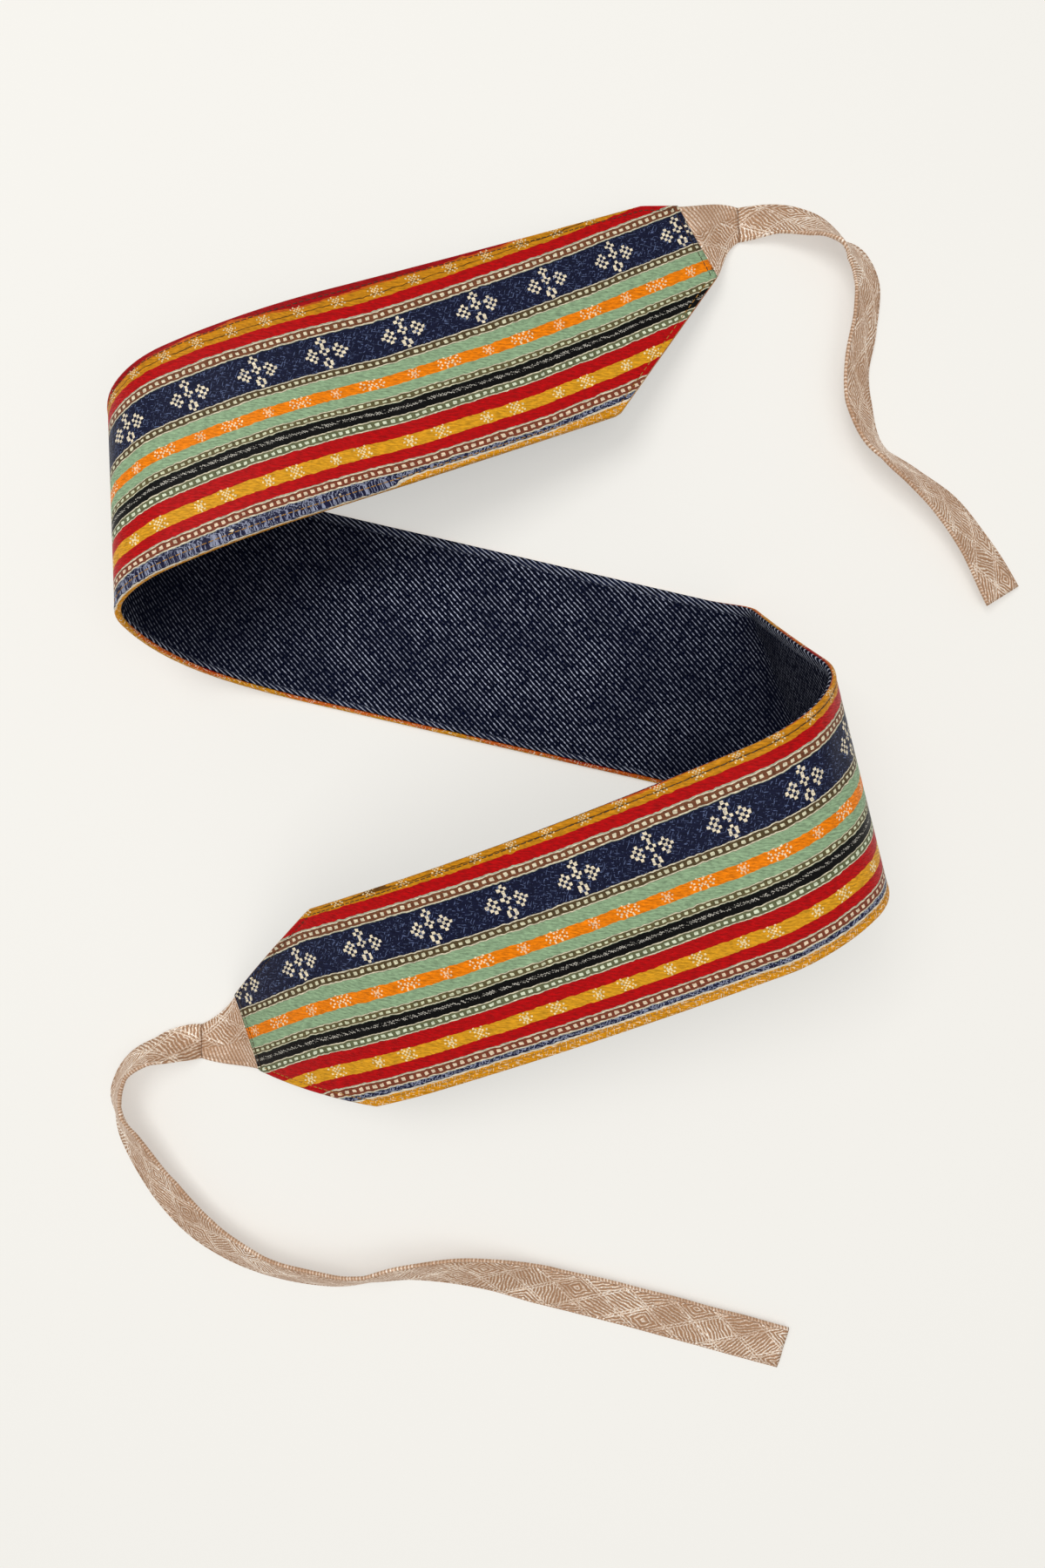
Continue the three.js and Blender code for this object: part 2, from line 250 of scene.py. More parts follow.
class LaidBelt:
    """The whole belt as one flat strip that can be asked where each of its points lies."""

    ROW = 3.0

    def __init__(self) -> None:
        """Makes both halves."""
        self.right = Roll(1, -17, RIGHT_STRETCHES, RIGHT_TIP)
        self.left = Roll(-1, -28, LEFT_STRETCHES, LEFT_TIP)

    def half(self, along: float) -> Roll:
        """The half that a distance along the belt falls in."""
        return self.right if along > 0 else self.left

    def reach(self, along: np.ndarray, side: int) -> np.ndarray:
        """How far the cloth reaches across.

        Args:
            along: Distances along the belt.
            side: 1 for the upper edge, -1 for the lower.

        Returns:
            The edge's place across at each distance.
        """
        result = np.empty(along.shape)
        for roll, chosen in ((self.right, along > 0), (self.left, along <= 0)):
            tip = roll.tip
            taper = tip.upper_taper if side > 0 else tip.lower_taper
            corner = tip.upper_corner if side > 0 else tip.lower_corner
            past = 0 if side > 0 else tip.lean
            share = np.clip((np.abs(along[chosen]) - (roll.end - taper)) / (taper + past), 0, 1)
            result[chosen] = side * HALF_WIDTH * (1 - share) + corner * share
        return result

    def row_lean(self, along: float) -> float:
        """Tangent of a cross row's lean: the roll's own, square in the middle and as cut at the tip.

        Args:
            along: The row's distance along the belt.

        Returns:
            The tangent.
        """
        roll = self.half(along)
        flat = min(1.0, abs(along) / roll.stretches[0].length)
        near = min(1.0, max(0.0, (roll.end - abs(along)) / BLUNT_LENGTH))
        own = float(np.interp(abs(along), np.abs(roll.along_at), roll.slants)) * flat
        blunt = math.atan2(roll.tip.lean, BELT_WIDTH)
        return math.tan(blunt * (1 - near) + own * near)

    def rows(self) -> np.ndarray:
        """Where the cross rows stand along the belt, evenly from one blunt end to the other.

        Returns:
            Their distances along it.
        """
        last = -self.left.end - self.left.tip.lean / 2
        first = self.right.end + self.right.tip.lean / 2
        return np.linspace(last, first, int((first - last) / self.ROW) + 1)

    def creased(self, along: np.ndarray, across: np.ndarray) -> np.ndarray:
        """How far the cloth rises or sinks out of its smooth form.

        Args:
            along: Distances along the belt.
            across: Distances across it.

        Returns:
            Heights towards the lining side.
        """
        height = np.zeros(along.shape)
        for crease in CREASES:
            lean = math.radians(crease.lean)
            ahead = (along - crease.along) * math.cos(lean) + (across - crease.across) * math.sin(lean)
            aside = (across - crease.across) * math.cos(lean) - (along - crease.along) * math.sin(lean)
            fade = np.exp(-((ahead / (crease.length / 2)) ** 4))
            height += crease.height * fade * np.exp(-((aside / (crease.width / 2)) ** 2))
        return height

    def placed(self, along: np.ndarray, across: np.ndarray, depth: np.ndarray) -> np.ndarray:
        """Where the flat cloth's points lie, creases included.

        Args:
            along: Distances along the belt.
            across: Distances across it.
            depth: Distances out of its middle layer.

        Returns:
            One point a row, in millimetres from the middle of the flat stretch.
        """
        points = np.empty((len(along), 3))
        on_right = along - across * math.tan(self.right.slants[0]) >= 0
        deep = depth + self.creased(along, across)
        for roll, chosen in ((self.right, on_right), (self.left, ~on_right)):
            if chosen.any():
                points[chosen] = roll.placed(along[chosen], across[chosen], deep[chosen])
        return points


@dataclass(frozen=True)
class Column:
    """One point of a panel's cross-section: its edge, the offset or share from it, its depth, and how far
    the cloth has already gone round the edge there."""

    side: Side
    offset: float
    depth: float
    turned: float = 0.0


def ring_mesh(name: str, rings: np.ndarray, cloth: np.ndarray) -> bpy.types.Object:
    """Closes rings of points into one piece, with its cloth's own map.

    Args:
        name: Name of the piece.
        rings: Points by ring and place in the ring, in millimetres in the part's frame.
        cloth: Each point's place in the flat cloth, along and across, in millimetres.

    Returns:
        The new object.
    """
    count, size = rings.shape[:2]
    points = rings.reshape(-1, 3) * MM
    flat = cloth.reshape(-1, 2) * MM
    faces = []
    for i in range(count - 1):
        for j in range(size):
            k = (j + 1) % size
            faces.append((i * size + j, i * size + k, (i + 1) * size + k, (i + 1) * size + j))
    middle = [rings[0].mean(axis=0) * MM, rings[-1].mean(axis=0) * MM]
    flat_middle = [cloth[0].mean(axis=0) * MM, cloth[-1].mean(axis=0) * MM]
    hub = count * size
    last = (count - 1) * size
    for j in range(size):
        k = (j + 1) % size
        faces.append((k, j, hub))
        faces.append((last + j, last + k, hub + 1))
    mesh = bpy.data.meshes.new(name)
    mesh.from_pydata(np.vstack([points, middle]).tolist(), [], faces)
    flat = np.vstack([flat, flat_middle])
    layer = mesh.uv_layers.new(name="cloth")
    corners = np.empty(len(mesh.loops), int)
    mesh.loops.foreach_get("vertex_index", corners)
    layer.data.foreach_set("uv", flat[corners].astype(np.float32).ravel())
    mesh.validate()
    mesh.polygons.foreach_set("use_smooth", np.ones(len(mesh.polygons), bool))
    piece = bpy.data.objects.new(name, mesh)
    bpy.context.scene.collection.objects.link(piece)
    return piece


@dataclass(frozen=True)
class Panel:
    """One panel of the belt: its name, the solid that it stands for, its cross-section and its cut."""

    name: str
    node: str
    slot: str
    section: tuple[Column, ...]
    cut_width: float
    cut_area: float

    def build(self, belt: LaidBelt) -> bpy.types.Object:
        """Lays the panel's sections along the belt.

        Args:
            belt: The laid belt.

        Returns:
            The panel.
        """
        rings = []
        cloth = []
        for station in belt.rows():
            lean = belt.row_lean(station)
            full = np.array([self._full_across(column) for column in self.section])
            along = station + full * lean
            beyond = np.array([column.turned * column.side.value for column in self.section])
            lower = belt.reach(along, -1)
            upper = belt.reach(along, 1)
            across = np.empty(len(full))
            for i, column in enumerate(self.section):
                if column.side is Side.SHARE:
                    inner = (lower[i] + HEM_ZONE, upper[i] - HEM_ZONE)
                    across[i] = inner[0] + (inner[1] - inner[0]) * column.offset
                elif column.side is Side.LOWER:
                    across[i] = lower[i] + column.offset
                else:
                    across[i] = upper[i] - column.offset
            depth = np.array([column.depth for column in self.section])
            rings.append(belt.placed(along, across, depth) - CENTRE)
            shift = stripe_shift(along, across)
            # The gold band is turned over the tapered edges too, as a line along each.
            rim = [c.side is not Side.SHARE and c.offset < RIM for c in self.section]
            woven = np.where(rim, [c.side.value * HALF_WIDTH for c in self.section], across)
            cloth.append(np.column_stack([woven_place(along), woven + beyond + shift]))
        return ring_mesh(self.name, np.array(rings), np.array(cloth))

    @staticmethod
    def _full_across(column: Column) -> float:
        """Where a column lies across the belt at its full width.

        Args:
            column: The column.

        Returns:
            Its place across.
        """
        if column.side is Side.SHARE:
            return -HALF_WIDTH + HEM_ZONE + (BELT_WIDTH - 2 * HEM_ZONE) * column.offset
        return column.side.value * (HALF_WIDTH - column.offset)


# The weave's repeat runs a little short over the crests and long towards the tips: how many repeats
# lie between the middle and each place along the belt.
REPEAT = 35.0
REPEAT_COUNTS = (
    (-560.0, -15.5),
    (-343.0, -10.0),
    (-246.0, -7.0),
    (0.0, 0.0),
    (250.0, 7.0),
    (413.0, 12.0),
    (489.0, 14.0),
    (531.5, 15.0),
    (581.5, 16.0),
    (611.0, 16.6),
)


def woven_place(along: np.ndarray) -> np.ndarray:
    """The place in the weave for distances along the belt.

    Args:
        along: The distances.

    Returns:
        The places, in millimetres of even repeats.
    """
    places = [row[0] for row in REPEAT_COUNTS]
    counts = [row[1] for row in REPEAT_COUNTS]
    return np.interp(along, places, counts) * REPEAT


# The stripes don't run quite true towards the ends: how far they lie below their even places over the
# whole width, and how much less over the lower half, where the cloth bunches up on the left crest.
STRIPE_DRIFT = (
    (-546.0, -6.5, 0.0),
    (-500.0, -2.5, 0.0),
    (-478.0, -0.3, 0.0),
    (-430.0, 3.0, 0.0),
    (-372.0, 6.0, 3.0),
    (-330.0, 5.0, 4.0),
    (-280.0, 3.8, 3.0),
    (-230.0, 2.8, 1.5),
    (-150.0, 0.0, 0.0),
    (380.0, 0.0, 0.0),
    (440.0, -0.8, -0.5),
    (490.0, -1.5, -1.5),
    (523.0, -1.8, -2.2),
    (540.0, 0.0, -0.5),
    (556.0, 1.8, 0.0),
    (575.0, 4.0, 0.0),
    (594.0, 6.0, 0.0),
)
CREST_SHIFT = 5.6  # at the left crest's lower edge, where the gold band goes under


def stripe_shift(along: np.ndarray, across: np.ndarray) -> np.ndarray:
    """How far down the stripes lie from their even places.

    Args:
        along: Distances along the belt.
        across: Places across it.

    Returns:
        The shifts.
    """
    places, whole, less = np.array(STRIPE_DRIFT).T
    lower = np.interp(along, places, less) * np.interp(across, [-45, -10, 20], [1.0, 0.9, 0.0])
    shift = np.interp(along, places, whole) - lower
    hidden = np.interp(along, [-365, -345, -205, -190], [0.0, 1.0, 1.0, 0.0])
    hidden *= np.interp(across, [-49, -45], [1, 0])
    return shift * (1 - hidden) + CREST_SHIFT * hidden


def hem_columns(side: Side, face: float, puff: float, groove_at: float) -> list[Column]:
    """Columns of a stitched hem on the face of a panel, from its edge inwards.

    Args:
        side: The edge.
        face: Depth of the face.
        puff: How far the hem swells out of the face, with its sign.
        groove_at: Where the stitching pulls the hem in, measured from the edge.

    Returns:
        The columns.
    """
    columns = []
    for offset in HEM_OFFSETS:
        swell = math.exp(-(((offset - groove_at * 0.5) / (groove_at * 0.38)) ** 2))
        pull = HEM_DIP * math.exp(-(((offset - groove_at) / 0.5) ** 2))
        columns.append(Column(side, offset, face + puff * (swell - pull)))
    return columns


def face_columns(face: float, count: int) -> list[Column]:
    """Columns of a panel's plain face between its hems, from the lower edge to the upper."""
    return [Column(Side.SHARE, (i + 1) / (count + 1), face) for i in range(count)]


def front_section() -> tuple[Column, ...]:
    """The brocade's cross-section: its face, both rolled edges and the strip turned up by the lining.

    Returns:
        Its columns, in order round it.
    """
    lower = hem_columns(Side.LOWER, FRONT_FACE, -0.2, 3.5)
    upper = hem_columns(Side.UPPER, FRONT_FACE, -0.3, 2.7)
    return (
        Column(Side.LOWER, 0, -0.6, 0.7),
        Column(Side.LOWER, 0.15, -1.1),
        *lower,
        *face_columns(FRONT_FACE, FACE_COLUMNS),
        *reversed(upper),
        Column(Side.UPPER, 0.15, -1.1),
        Column(Side.UPPER, 0, -0.7, 0.6),
        Column(Side.UPPER, 0, FRONT_BACK, 1.2),
        *reversed(face_columns(FRONT_BACK, BACK_COLUMNS)),
        Column(Side.LOWER, ROLLED_EDGE, FRONT_BACK, 6.4),
        Column(Side.LOWER, ROLLED_EDGE, 1.2, 6.0),
        Column(Side.LOWER, 1.6, 1.45, 5.2),
        Column(Side.LOWER, 1.0, 1.5, 4.0),
        Column(Side.LOWER, 0.45, 1.35, 3.0),
        Column(Side.LOWER, 0.1, 0.95, 2.2),
        Column(Side.LOWER, 0, 0.2, 1.4),
    )


def lining_section() -> tuple[Column, ...]:
    """The denim's cross-section, with a stitched ridge along each edge.

    Returns:
        Its columns, in order round it.
    """
    start = ROLLED_EDGE + SEAM
    lower = [c for c in hem_columns(Side.LOWER, LINING_FACE, 0.3, 5.0) if c.offset > start + 0.5]
    upper = hem_columns(Side.UPPER, LINING_FACE, 0.3, 5.0)
    return (
        Column(Side.LOWER, start, LINING_BACK),
        *face_columns(LINING_BACK, BACK_COLUMNS),
        Column(Side.UPPER, 0.2, LINING_BACK),
        Column(Side.UPPER, 0.2, 0.85),
        Column(Side.UPPER, 0.32, 1.2),
        *upper,
        *reversed(face_columns(LINING_FACE, FACE_COLUMNS)),
        *reversed(lower),
        Column(Side.LOWER, start + 0.25, LINING_FACE + 0.1),
        Column(Side.LOWER, start, LINING_FACE - 0.25),
    )


@dataclass(frozen=True)
class TieRow:
    """One place on a tie's course over the table, with its width and its tilt about the course."""

    x: float
    y: float
    width: float
    tilt: float


TIE_START_WIDTH = 18.0
TIE_WIDTH = 23.0
TIE_THICKNESS = 2.0
TAB_THICKNESS = 2.2

UPPER_TIE = (
    TieRow(129, 223, TIE_START_WIDTH, 0),
    TieRow(149, 224, 20, -21),
    TieRow(167, 219, TIE_WIDTH, -36),
    TieRow(174, 215, TIE_WIDTH, -46),
    TieRow(181, 209, TIE_WIDTH, -58),
    TieRow(188, 203, TIE_WIDTH, -43),
    TieRow(194, 190, TIE_WIDTH, -38),
    TieRow(193, 169, TIE_WIDTH, -44),
    TieRow(189, 145, TIE_WIDTH, -42),
    TieRow(190, 127, TIE_WIDTH, -38),
    TieRow(196, 108, TIE_WIDTH, -48),
    TieRow(203, 99, TIE_WIDTH, -56),
    TieRow(218, 88, TIE_WIDTH, -46),
    TieRow(235, 74, TIE_WIDTH, -34),
    TieRow(251, 54, TIE_WIDTH, -26),
    TieRow(267, 27, TIE_WIDTH, -14),
)
LOWER_TIE = (
    TieRow(-154, -207, TIE_START_WIDTH, 0),
    TieRow(-163, -207, 19, 35),
    TieRow(-176, -210, 22, 66),
    TieRow(-189, -218, TIE_WIDTH, 67),
    TieRow(-195, -233, TIE_WIDTH, 58),
    TieRow(-193, -243, TIE_WIDTH, 60),
    TieRow(-189, -254, TIE_WIDTH, 46),
    TieRow(-171, -283, TIE_WIDTH, 30),
    TieRow(-151, -304, TIE_WIDTH, 31),
    TieRow(-121, -321, TIE_WIDTH, 44),
    TieRow(-84, -329, TIE_WIDTH, 52),
    TieRow(-65, -328, TIE_WIDTH, 60),
    TieRow(-45, -325, TIE_WIDTH, 50),
    TieRow(-22, -325, TIE_WIDTH, 37),
    TieRow(1, -328, TIE_WIDTH, 24),
    TieRow(25, -334, TIE_WIDTH, 12),
    TieRow(65, -344, TIE_WIDTH, 8),
    TieRow(152, -368, TIE_WIDTH, 5),
)


class TieCourse:
    """A tie's smooth course over the table, with its width and tilt along it."""

    SAMPLES = 3000

    def __init__(self, rows: tuple[TieRow, ...]) -> None:
        """Follows the table's rows with one smooth curve, evenly by length.

        Args:
            rows: The tie's places, from its tab to its free end.
        """
        knots = np.array([(row.x, row.y) for row in rows], float)
        places = np.linspace(0, len(rows) - 1, self.SAMPLES)
        self.line = np.array([self._curve(knots, place) for place in places])
        steps = np.linalg.norm(np.diff(self.line, axis=0), axis=1)
        self.lengths = np.concatenate([[0], np.cumsum(steps)])
        self.length = float(self.lengths[-1])
        self.ahead = np.gradient(self.line, axis=0)
        self.ahead /= np.linalg.norm(self.ahead, axis=1)[:, None]
        self.widths = np.interp(places, range(len(rows)), [row.width for row in rows])
        self.tilts = np.radians(np.interp(places, range(len(rows)), [row.tilt for row in rows]))

    @staticmethod
    def _curve(knots: np.ndarray, place: float) -> np.ndarray:
        """One point of the centripetal curve through the knots.

        Args:
            knots: The points that it goes through.
            place: Where along it, one for each knot passed.

        Returns:
            The point.
        """
        i = min(int(place), len(knots) - 2)
        part = place - i
        start, finish = knots[i], knots[i + 1]
        before = knots[i - 1] if i > 0 else 2 * knots[0] - knots[1]
        after = knots[i + 2] if i + 2 < len(knots) else 2 * knots[-1] - knots[-2]
        gap_in, gap, gap_out = (
            math.sqrt(np.linalg.norm(b - a)) for a, b in ((before, start), (start, finish), (finish, after))
        )
        leave = (start - before) / gap_in - (finish - before) / (gap_in + gap) + (finish - start) / gap
        arrive = (finish - start) / gap - (after - start) / (gap + gap_out) + (after - finish) / gap_out
        leave, arrive = leave * gap, arrive * gap
        bend = -3 * start + 3 * finish - 2 * leave - arrive
        settle = 2 * start - 2 * finish + leave + arrive
        return start + leave * part + bend * part**2 + settle * part**3

    def frames(self, distances: np.ndarray) -> dict[str, np.ndarray]:
        """The tie's cross places.

        Args:
            distances: How far along the tie.

        Returns:
            Arrays by name: centre, ahead, side (to the left of the course), up and width.
        """

        def at(values: np.ndarray) -> np.ndarray:
            """Values along the course at the asked distances.

            Args:
                values: One value or row for each sample of the course.

            Returns:
                Those at the distances.
            """
            if values.ndim == 1:
                return np.interp(distances, self.lengths, values)
            return np.column_stack([np.interp(distances, self.lengths, v) for v in values.T])

        line, ahead, width, tilt = at(self.line), at(self.ahead), at(self.widths), at(self.tilts)
        ahead /= np.linalg.norm(ahead, axis=1)[:, None]
        zeros = np.zeros(len(distances))
        ahead = np.column_stack([ahead, zeros])
        left = np.column_stack([-ahead[:, 1], ahead[:, 0], zeros])
        side = left * np.cos(tilt)[:, None]
        side[:, 2] = np.sin(tilt)
        up = np.cross(ahead, side)
        up /= np.linalg.norm(up, axis=1)[:, None]
        rise = width / 2 * np.abs(side[:, 2]) + TIE_THICKNESS / 2 * np.abs(up[:, 2])
        centre = np.column_stack([line, rise])
        return {"centre": centre, "ahead": ahead, "side": side, "up": up, "width": width}


# Across a strap, as shares of its half width: where its columns lie and how thick it is there, with the
# stitching that pulls both layers together just inside each edge.
STITCH_SHARE = 0.855
STITCH_HEIGHT = 0.62
STRAP_SHARES = (1.0, 0.985, 0.94, 0.89, STITCH_SHARE, 0.82, 0.76, 0.6, 0.4, 0.2, 0.0)
STRAP_HEIGHTS = (0.0, 0.6, 0.98, 0.95, STITCH_HEIGHT, 0.9, 1.0, 1.0, 0.98, 0.97, 0.97)


def strap_profile() -> tuple[np.ndarray, np.ndarray]:
    """A strap's outline, in order round it.

    Returns:
        Shares of its half width, and of its half thickness.
    """
    shares = np.array(STRAP_SHARES)
    heights = np.array(STRAP_HEIGHTS)
    top = np.concatenate([shares, -shares[-2::-1]])
    top_heights = np.concatenate([heights, heights[-2::-1]])
    aside = np.concatenate([top, top[-2:0:-1]])
    high = np.concatenate([top_heights, -top_heights[-2:0:-1]])
    return aside, high


@dataclass(frozen=True)
class Tie:
    """A doubled, turned and topstitched tie."""

    name: str
    node: str
    rows: tuple[TieRow, ...]
    flat_length: float
    curl: float
    ROW = 2.0
    CURL_LENGTH = 47.0
    RIPPLE = 0.22
    RIPPLE_LENGTH = 6.1
    CALM_LENGTH = 15.0

    def build(self) -> bpy.types.Object:
        """Lays the tie along its course, with a slight curl and soft ripples.

        Returns:
            The tie.
        """
        course = TieCourse(self.rows)
        count = int(course.length / self.ROW) + 1
        distances = np.linspace(0, course.length, count)
        at = course.frames(distances)
        aside, high = strap_profile()
        half = at["width"] / 2
        sideways = aside[None, :] * half[:, None]
        upward = high[None, :] * TIE_THICKNESS / 2 + self.wander(distances[:, None], aside[None, :])
        rings = (
            at["centre"][:, None, :]
            + at["side"][:, None, :] * sideways[:, :, None]
            + at["up"][:, None, :] * upward[:, :, None]
        )
        rings -= CENTRE
        rings[:, :, 2] = np.maximum(rings[:, :, 2], 0.0)
        cloth = np.stack([np.repeat(distances[:, None], len(aside), axis=1), sideways], axis=2)
        return ring_mesh(self.name, rings, cloth)

    def wander(self, distances: np.ndarray, aside: np.ndarray) -> np.ndarray:
        """How far the tie curls and ripples out of its plane.

        Args:
            distances: How far along the tie.
            aside: Shares of its half width.

        Returns:
            Heights along the tie's own up.
        """
        curl = self.curl * np.sin(distances / self.CURL_LENGTH + 0.6) * (aside**2 - 0.4)
        ripple = self.RIPPLE * np.sin(distances / self.RIPPLE_LENGTH) * np.sin(aside * 4 + 0.5)
        return (curl + ripple) * np.clip(distances / self.CALM_LENGTH, 0, 1)

    def surface(self, course: TieCourse, distances: np.ndarray, share: float) -> np.ndarray:
        """Points of the tie's upper face, in the stitched groove.

        Args:
            course: The tie's course.
            distances: How far along it.
            share: Where across, as a share of the half width.

        Returns:
            One point a row, in millimetres in the part's frame.
        """
        at = course.frames(distances)
        height = STITCH_HEIGHT * TIE_THICKNESS / 2 + self.wander(distances, np.full(len(distances), share))
        points = at["centre"] + at["side"] * (at["width"] / 2 * share)[:, None] + at["up"] * height[:, None]
        return points - CENTRE


@dataclass(frozen=True)
class Tab:
    """The short tapered piece between a blunt end and its tie."""

    name: str
    node: str
    rows: tuple[TieRow, ...]
    STEPS = 16
    SWELL = 0.35
    WEAVE_PLACE = (300.0, 7.0)

    def build(self, belt: LaidBelt, way: int) -> bpy.types.Object:
        """Makes the tab from the middle of the blunt end to the tie's start.

        Args:
            belt: The laid belt.
            way: 1 for the right half's end, -1 for the left's.

        Returns:
            The tab.
        """
        roll = belt.right if way > 0 else belt.left
        tip = roll.tip
        places = np.array(
            [
                (way * roll.end, tip.upper_corner),
                (way * (roll.end + tip.lean), tip.lower_corner),
                (way * (roll.end + tip.lean / 2 - 5), (tip.upper_corner + tip.lower_corner) / 2),
            ],
            float,
        )
        upper, lower, inner = roll.placed(places[:, 0], places[:, 1], np.zeros(3))
        start = (upper + lower) / 2
        out = (start - inner) / np.linalg.norm(start - inner)
        start = start + out * SEAM
        first = TieCourse(self.rows).frames(np.array([0.0]))
        ahead = first["ahead"][0]
        join = first["centre"][0] - ahead * SEAM
        start_side = (lower - upper) * way
        start_width = np.linalg.norm(start_side) - 2 * SEAM
        start_side = start_side / np.linalg.norm(start_side)
        join_side = first["side"][0]
        if start_side.dot(join_side) < 0:
            join_side = -join_side
        reach = np.linalg.norm(join - start)
        control = (start, start + out * reach / 3, join - ahead * reach / 3, join)
        aside, high = strap_profile()
        rings = []
        cloth = []
        for share in np.linspace(0, 1, self.STEPS + 1):
            left = 1 - share
            centre = (
                control[0] * left**3
                + control[1] * 3 * left**2 * share
                + control[2] * 3 * left * share**2
                + control[3] * share**3
            )
            course = (
                (control[1] - control[0]) * left**2
                + (control[2] - control[1]) * 2 * left * share
                + (control[3] - control[2]) * share**2
            )
            course /= np.linalg.norm(course)
            side = start_side * left + join_side * share
            side /= np.linalg.norm(side)
            up = np.cross(course, side)
            up /= np.linalg.norm(up)
            width = start_width * left + TIE_START_WIDTH * share
            thick = TAB_THICKNESS * left + TIE_THICKNESS * share
            swell = self.SWELL * math.sin(math.pi * share) * (1 - aside**2)
            lift = high * thick / 2 + swell
            rings.append(centre + np.outer(aside * width / 2, side) + np.outer(lift, up))
            cloth.append(np.column_stack([np.full(len(aside), share * reach), aside * width / 2]))
        rings = np.array(rings) - CENTRE
        rings[:, :, 2] = np.maximum(rings[:, :, 2], 0.0)
        return ring_mesh(self.name, rings, np.array(cloth) + np.array(self.WEAVE_PLACE))


AddNode = Callable[..., bpy.types.Node]

MATH = "ShaderNodeMath"
VECTOR = "ShaderNodeVectorMath"
RANGE = "ShaderNodeMapRange"
MIX = "ShaderNodeMix"
NOISE = "ShaderNodeTexNoise"


def add_node(tree: bpy.types.NodeTree, kind: str, sockets: dict | None = None, **settings) -> bpy.types.Node:
    """Adds one node with its settings, values and links.

    Args:
        tree: The material's nodes.
        kind: Blender's name for the node.
        sockets: What goes into each socket: a value, another socket, or a node whose first output is meant.
        **settings: The node's own settings.

    Returns:
        The node.
    """
    node = tree.nodes.new(kind)
    for name, value in settings.items():
        setattr(node, name, value)
    for key, value in (sockets or {}).items():
        if isinstance(value, bpy.types.Node):
            value = value.outputs[0]
        if isinstance(value, bpy.types.NodeSocket):
            tree.links.new(value, node.inputs[key])
        else:
            node.inputs[key].default_value = value
    return node


def linear(colour: str) -> tuple[float, float, float, float]:
    """An sRGB hex colour as Blender's linear one."""
    parts = [int(colour[i : i + 2], 16) / 255 for i in (1, 3, 5)]
    return tuple(p / 12.92 if p <= 0.04045 else ((p + 0.055) / 1.055) ** 2.4 for p in parts) + (1.0,)


def blank_material(name: str) -> bpy.types.Material:
    """Starts a material that has only its shader.

    Args:
        name: What the real one is and how its surface was made.

    Returns:
        The material.
    """
    material = bpy.data.materials.new(name)
    material.use_nodes = True
    return material


def cloth_map(add: AddNode) -> bpy.types.Node:
    """Adds the cloth's own map, turned to millimetres along and across it.

    Args:
        add: Adds a node to the material.

    Returns:
        The node that gives each place.
    """
    place = add("ShaderNodeUVMap", uv_map="cloth")
    return add(VECTOR, {0: place, "Scale": 1000.0}, operation="SCALE")


def off_middle(add: AddNode, number: bpy.types.Node) -> bpy.types.Node:
    """Adds how far a number lies from the middle of its whole step.

    Args:
        add: Adds a node to the material.
        number: The number, in steps.

    Returns:
        A node from 0 to 0.5.
    """
    part = add(MATH, {0: number}, operation="FRACT")
    centred = add(MATH, {0: part, 1: 0.5}, operation="SUBTRACT")
    return add(MATH, {0: centred}, operation="ABSOLUTE")


def streaks(add: AddNode, flat: bpy.types.Node, turn: float, size: tuple, sockets: dict) -> bpy.types.Node:
    """Adds noise drawn out into slanting streaks, as floating threads lie.

    Args:
        add: Adds a node to the material.
        flat: The cloth's map in millimetres.
        turn: How far the streaks are turned from the belt's length, in degrees.
        size: How long and how wide they are drawn.
        sockets: The noise's other values.

    Returns:
        The noise.
    """
    sizes = {"Rotation": (0, 0, math.radians(turn)), "Scale": (*size, 1)}
    drawn = add("ShaderNodeMapping", {"Vector": flat, **sizes}, vector_type="TEXTURE")
    return add(NOISE, {"Vector": drawn, "Scale": 1.0, **sockets})


@dataclass(frozen=True)
class Backdrop:
    """The pale table that the belt lies on."""

    size: float = 8.0
    colour: str = "#B7B5B0"
    glow: str = "#B2B1AE"
    drop: float = 0.0004

    def build(self) -> bpy.types.Object:
        """Adds the table just under the part.

        Returns:
            The table.
        """
        bpy.ops.object.select_all(action="DESELECT")
        bpy.ops.mesh.primitive_plane_add(size=self.size, location=(0, 0, -self.drop))
        table = bpy.context.active_object
        table.name = "table"
        bpy.ops.object.transform_apply(location=True, rotation=True, scale=True)
        material = blank_material("Paper backdrop, matt")
        shader = material.node_tree.nodes["Principled BSDF"]
        shader.inputs["Base Color"].default_value = linear(self.colour)
        shader.inputs["Roughness"].default_value = 0.95
        shader.inputs["Specular IOR Level"].default_value = 0.1
        # Paper lit from behind keeps its shadows light.
        shader.inputs["Emission Color"].default_value = linear(self.glow)
        shader.inputs["Emission Strength"].default_value = 1.0
        table.data.materials.append(material)
        return table


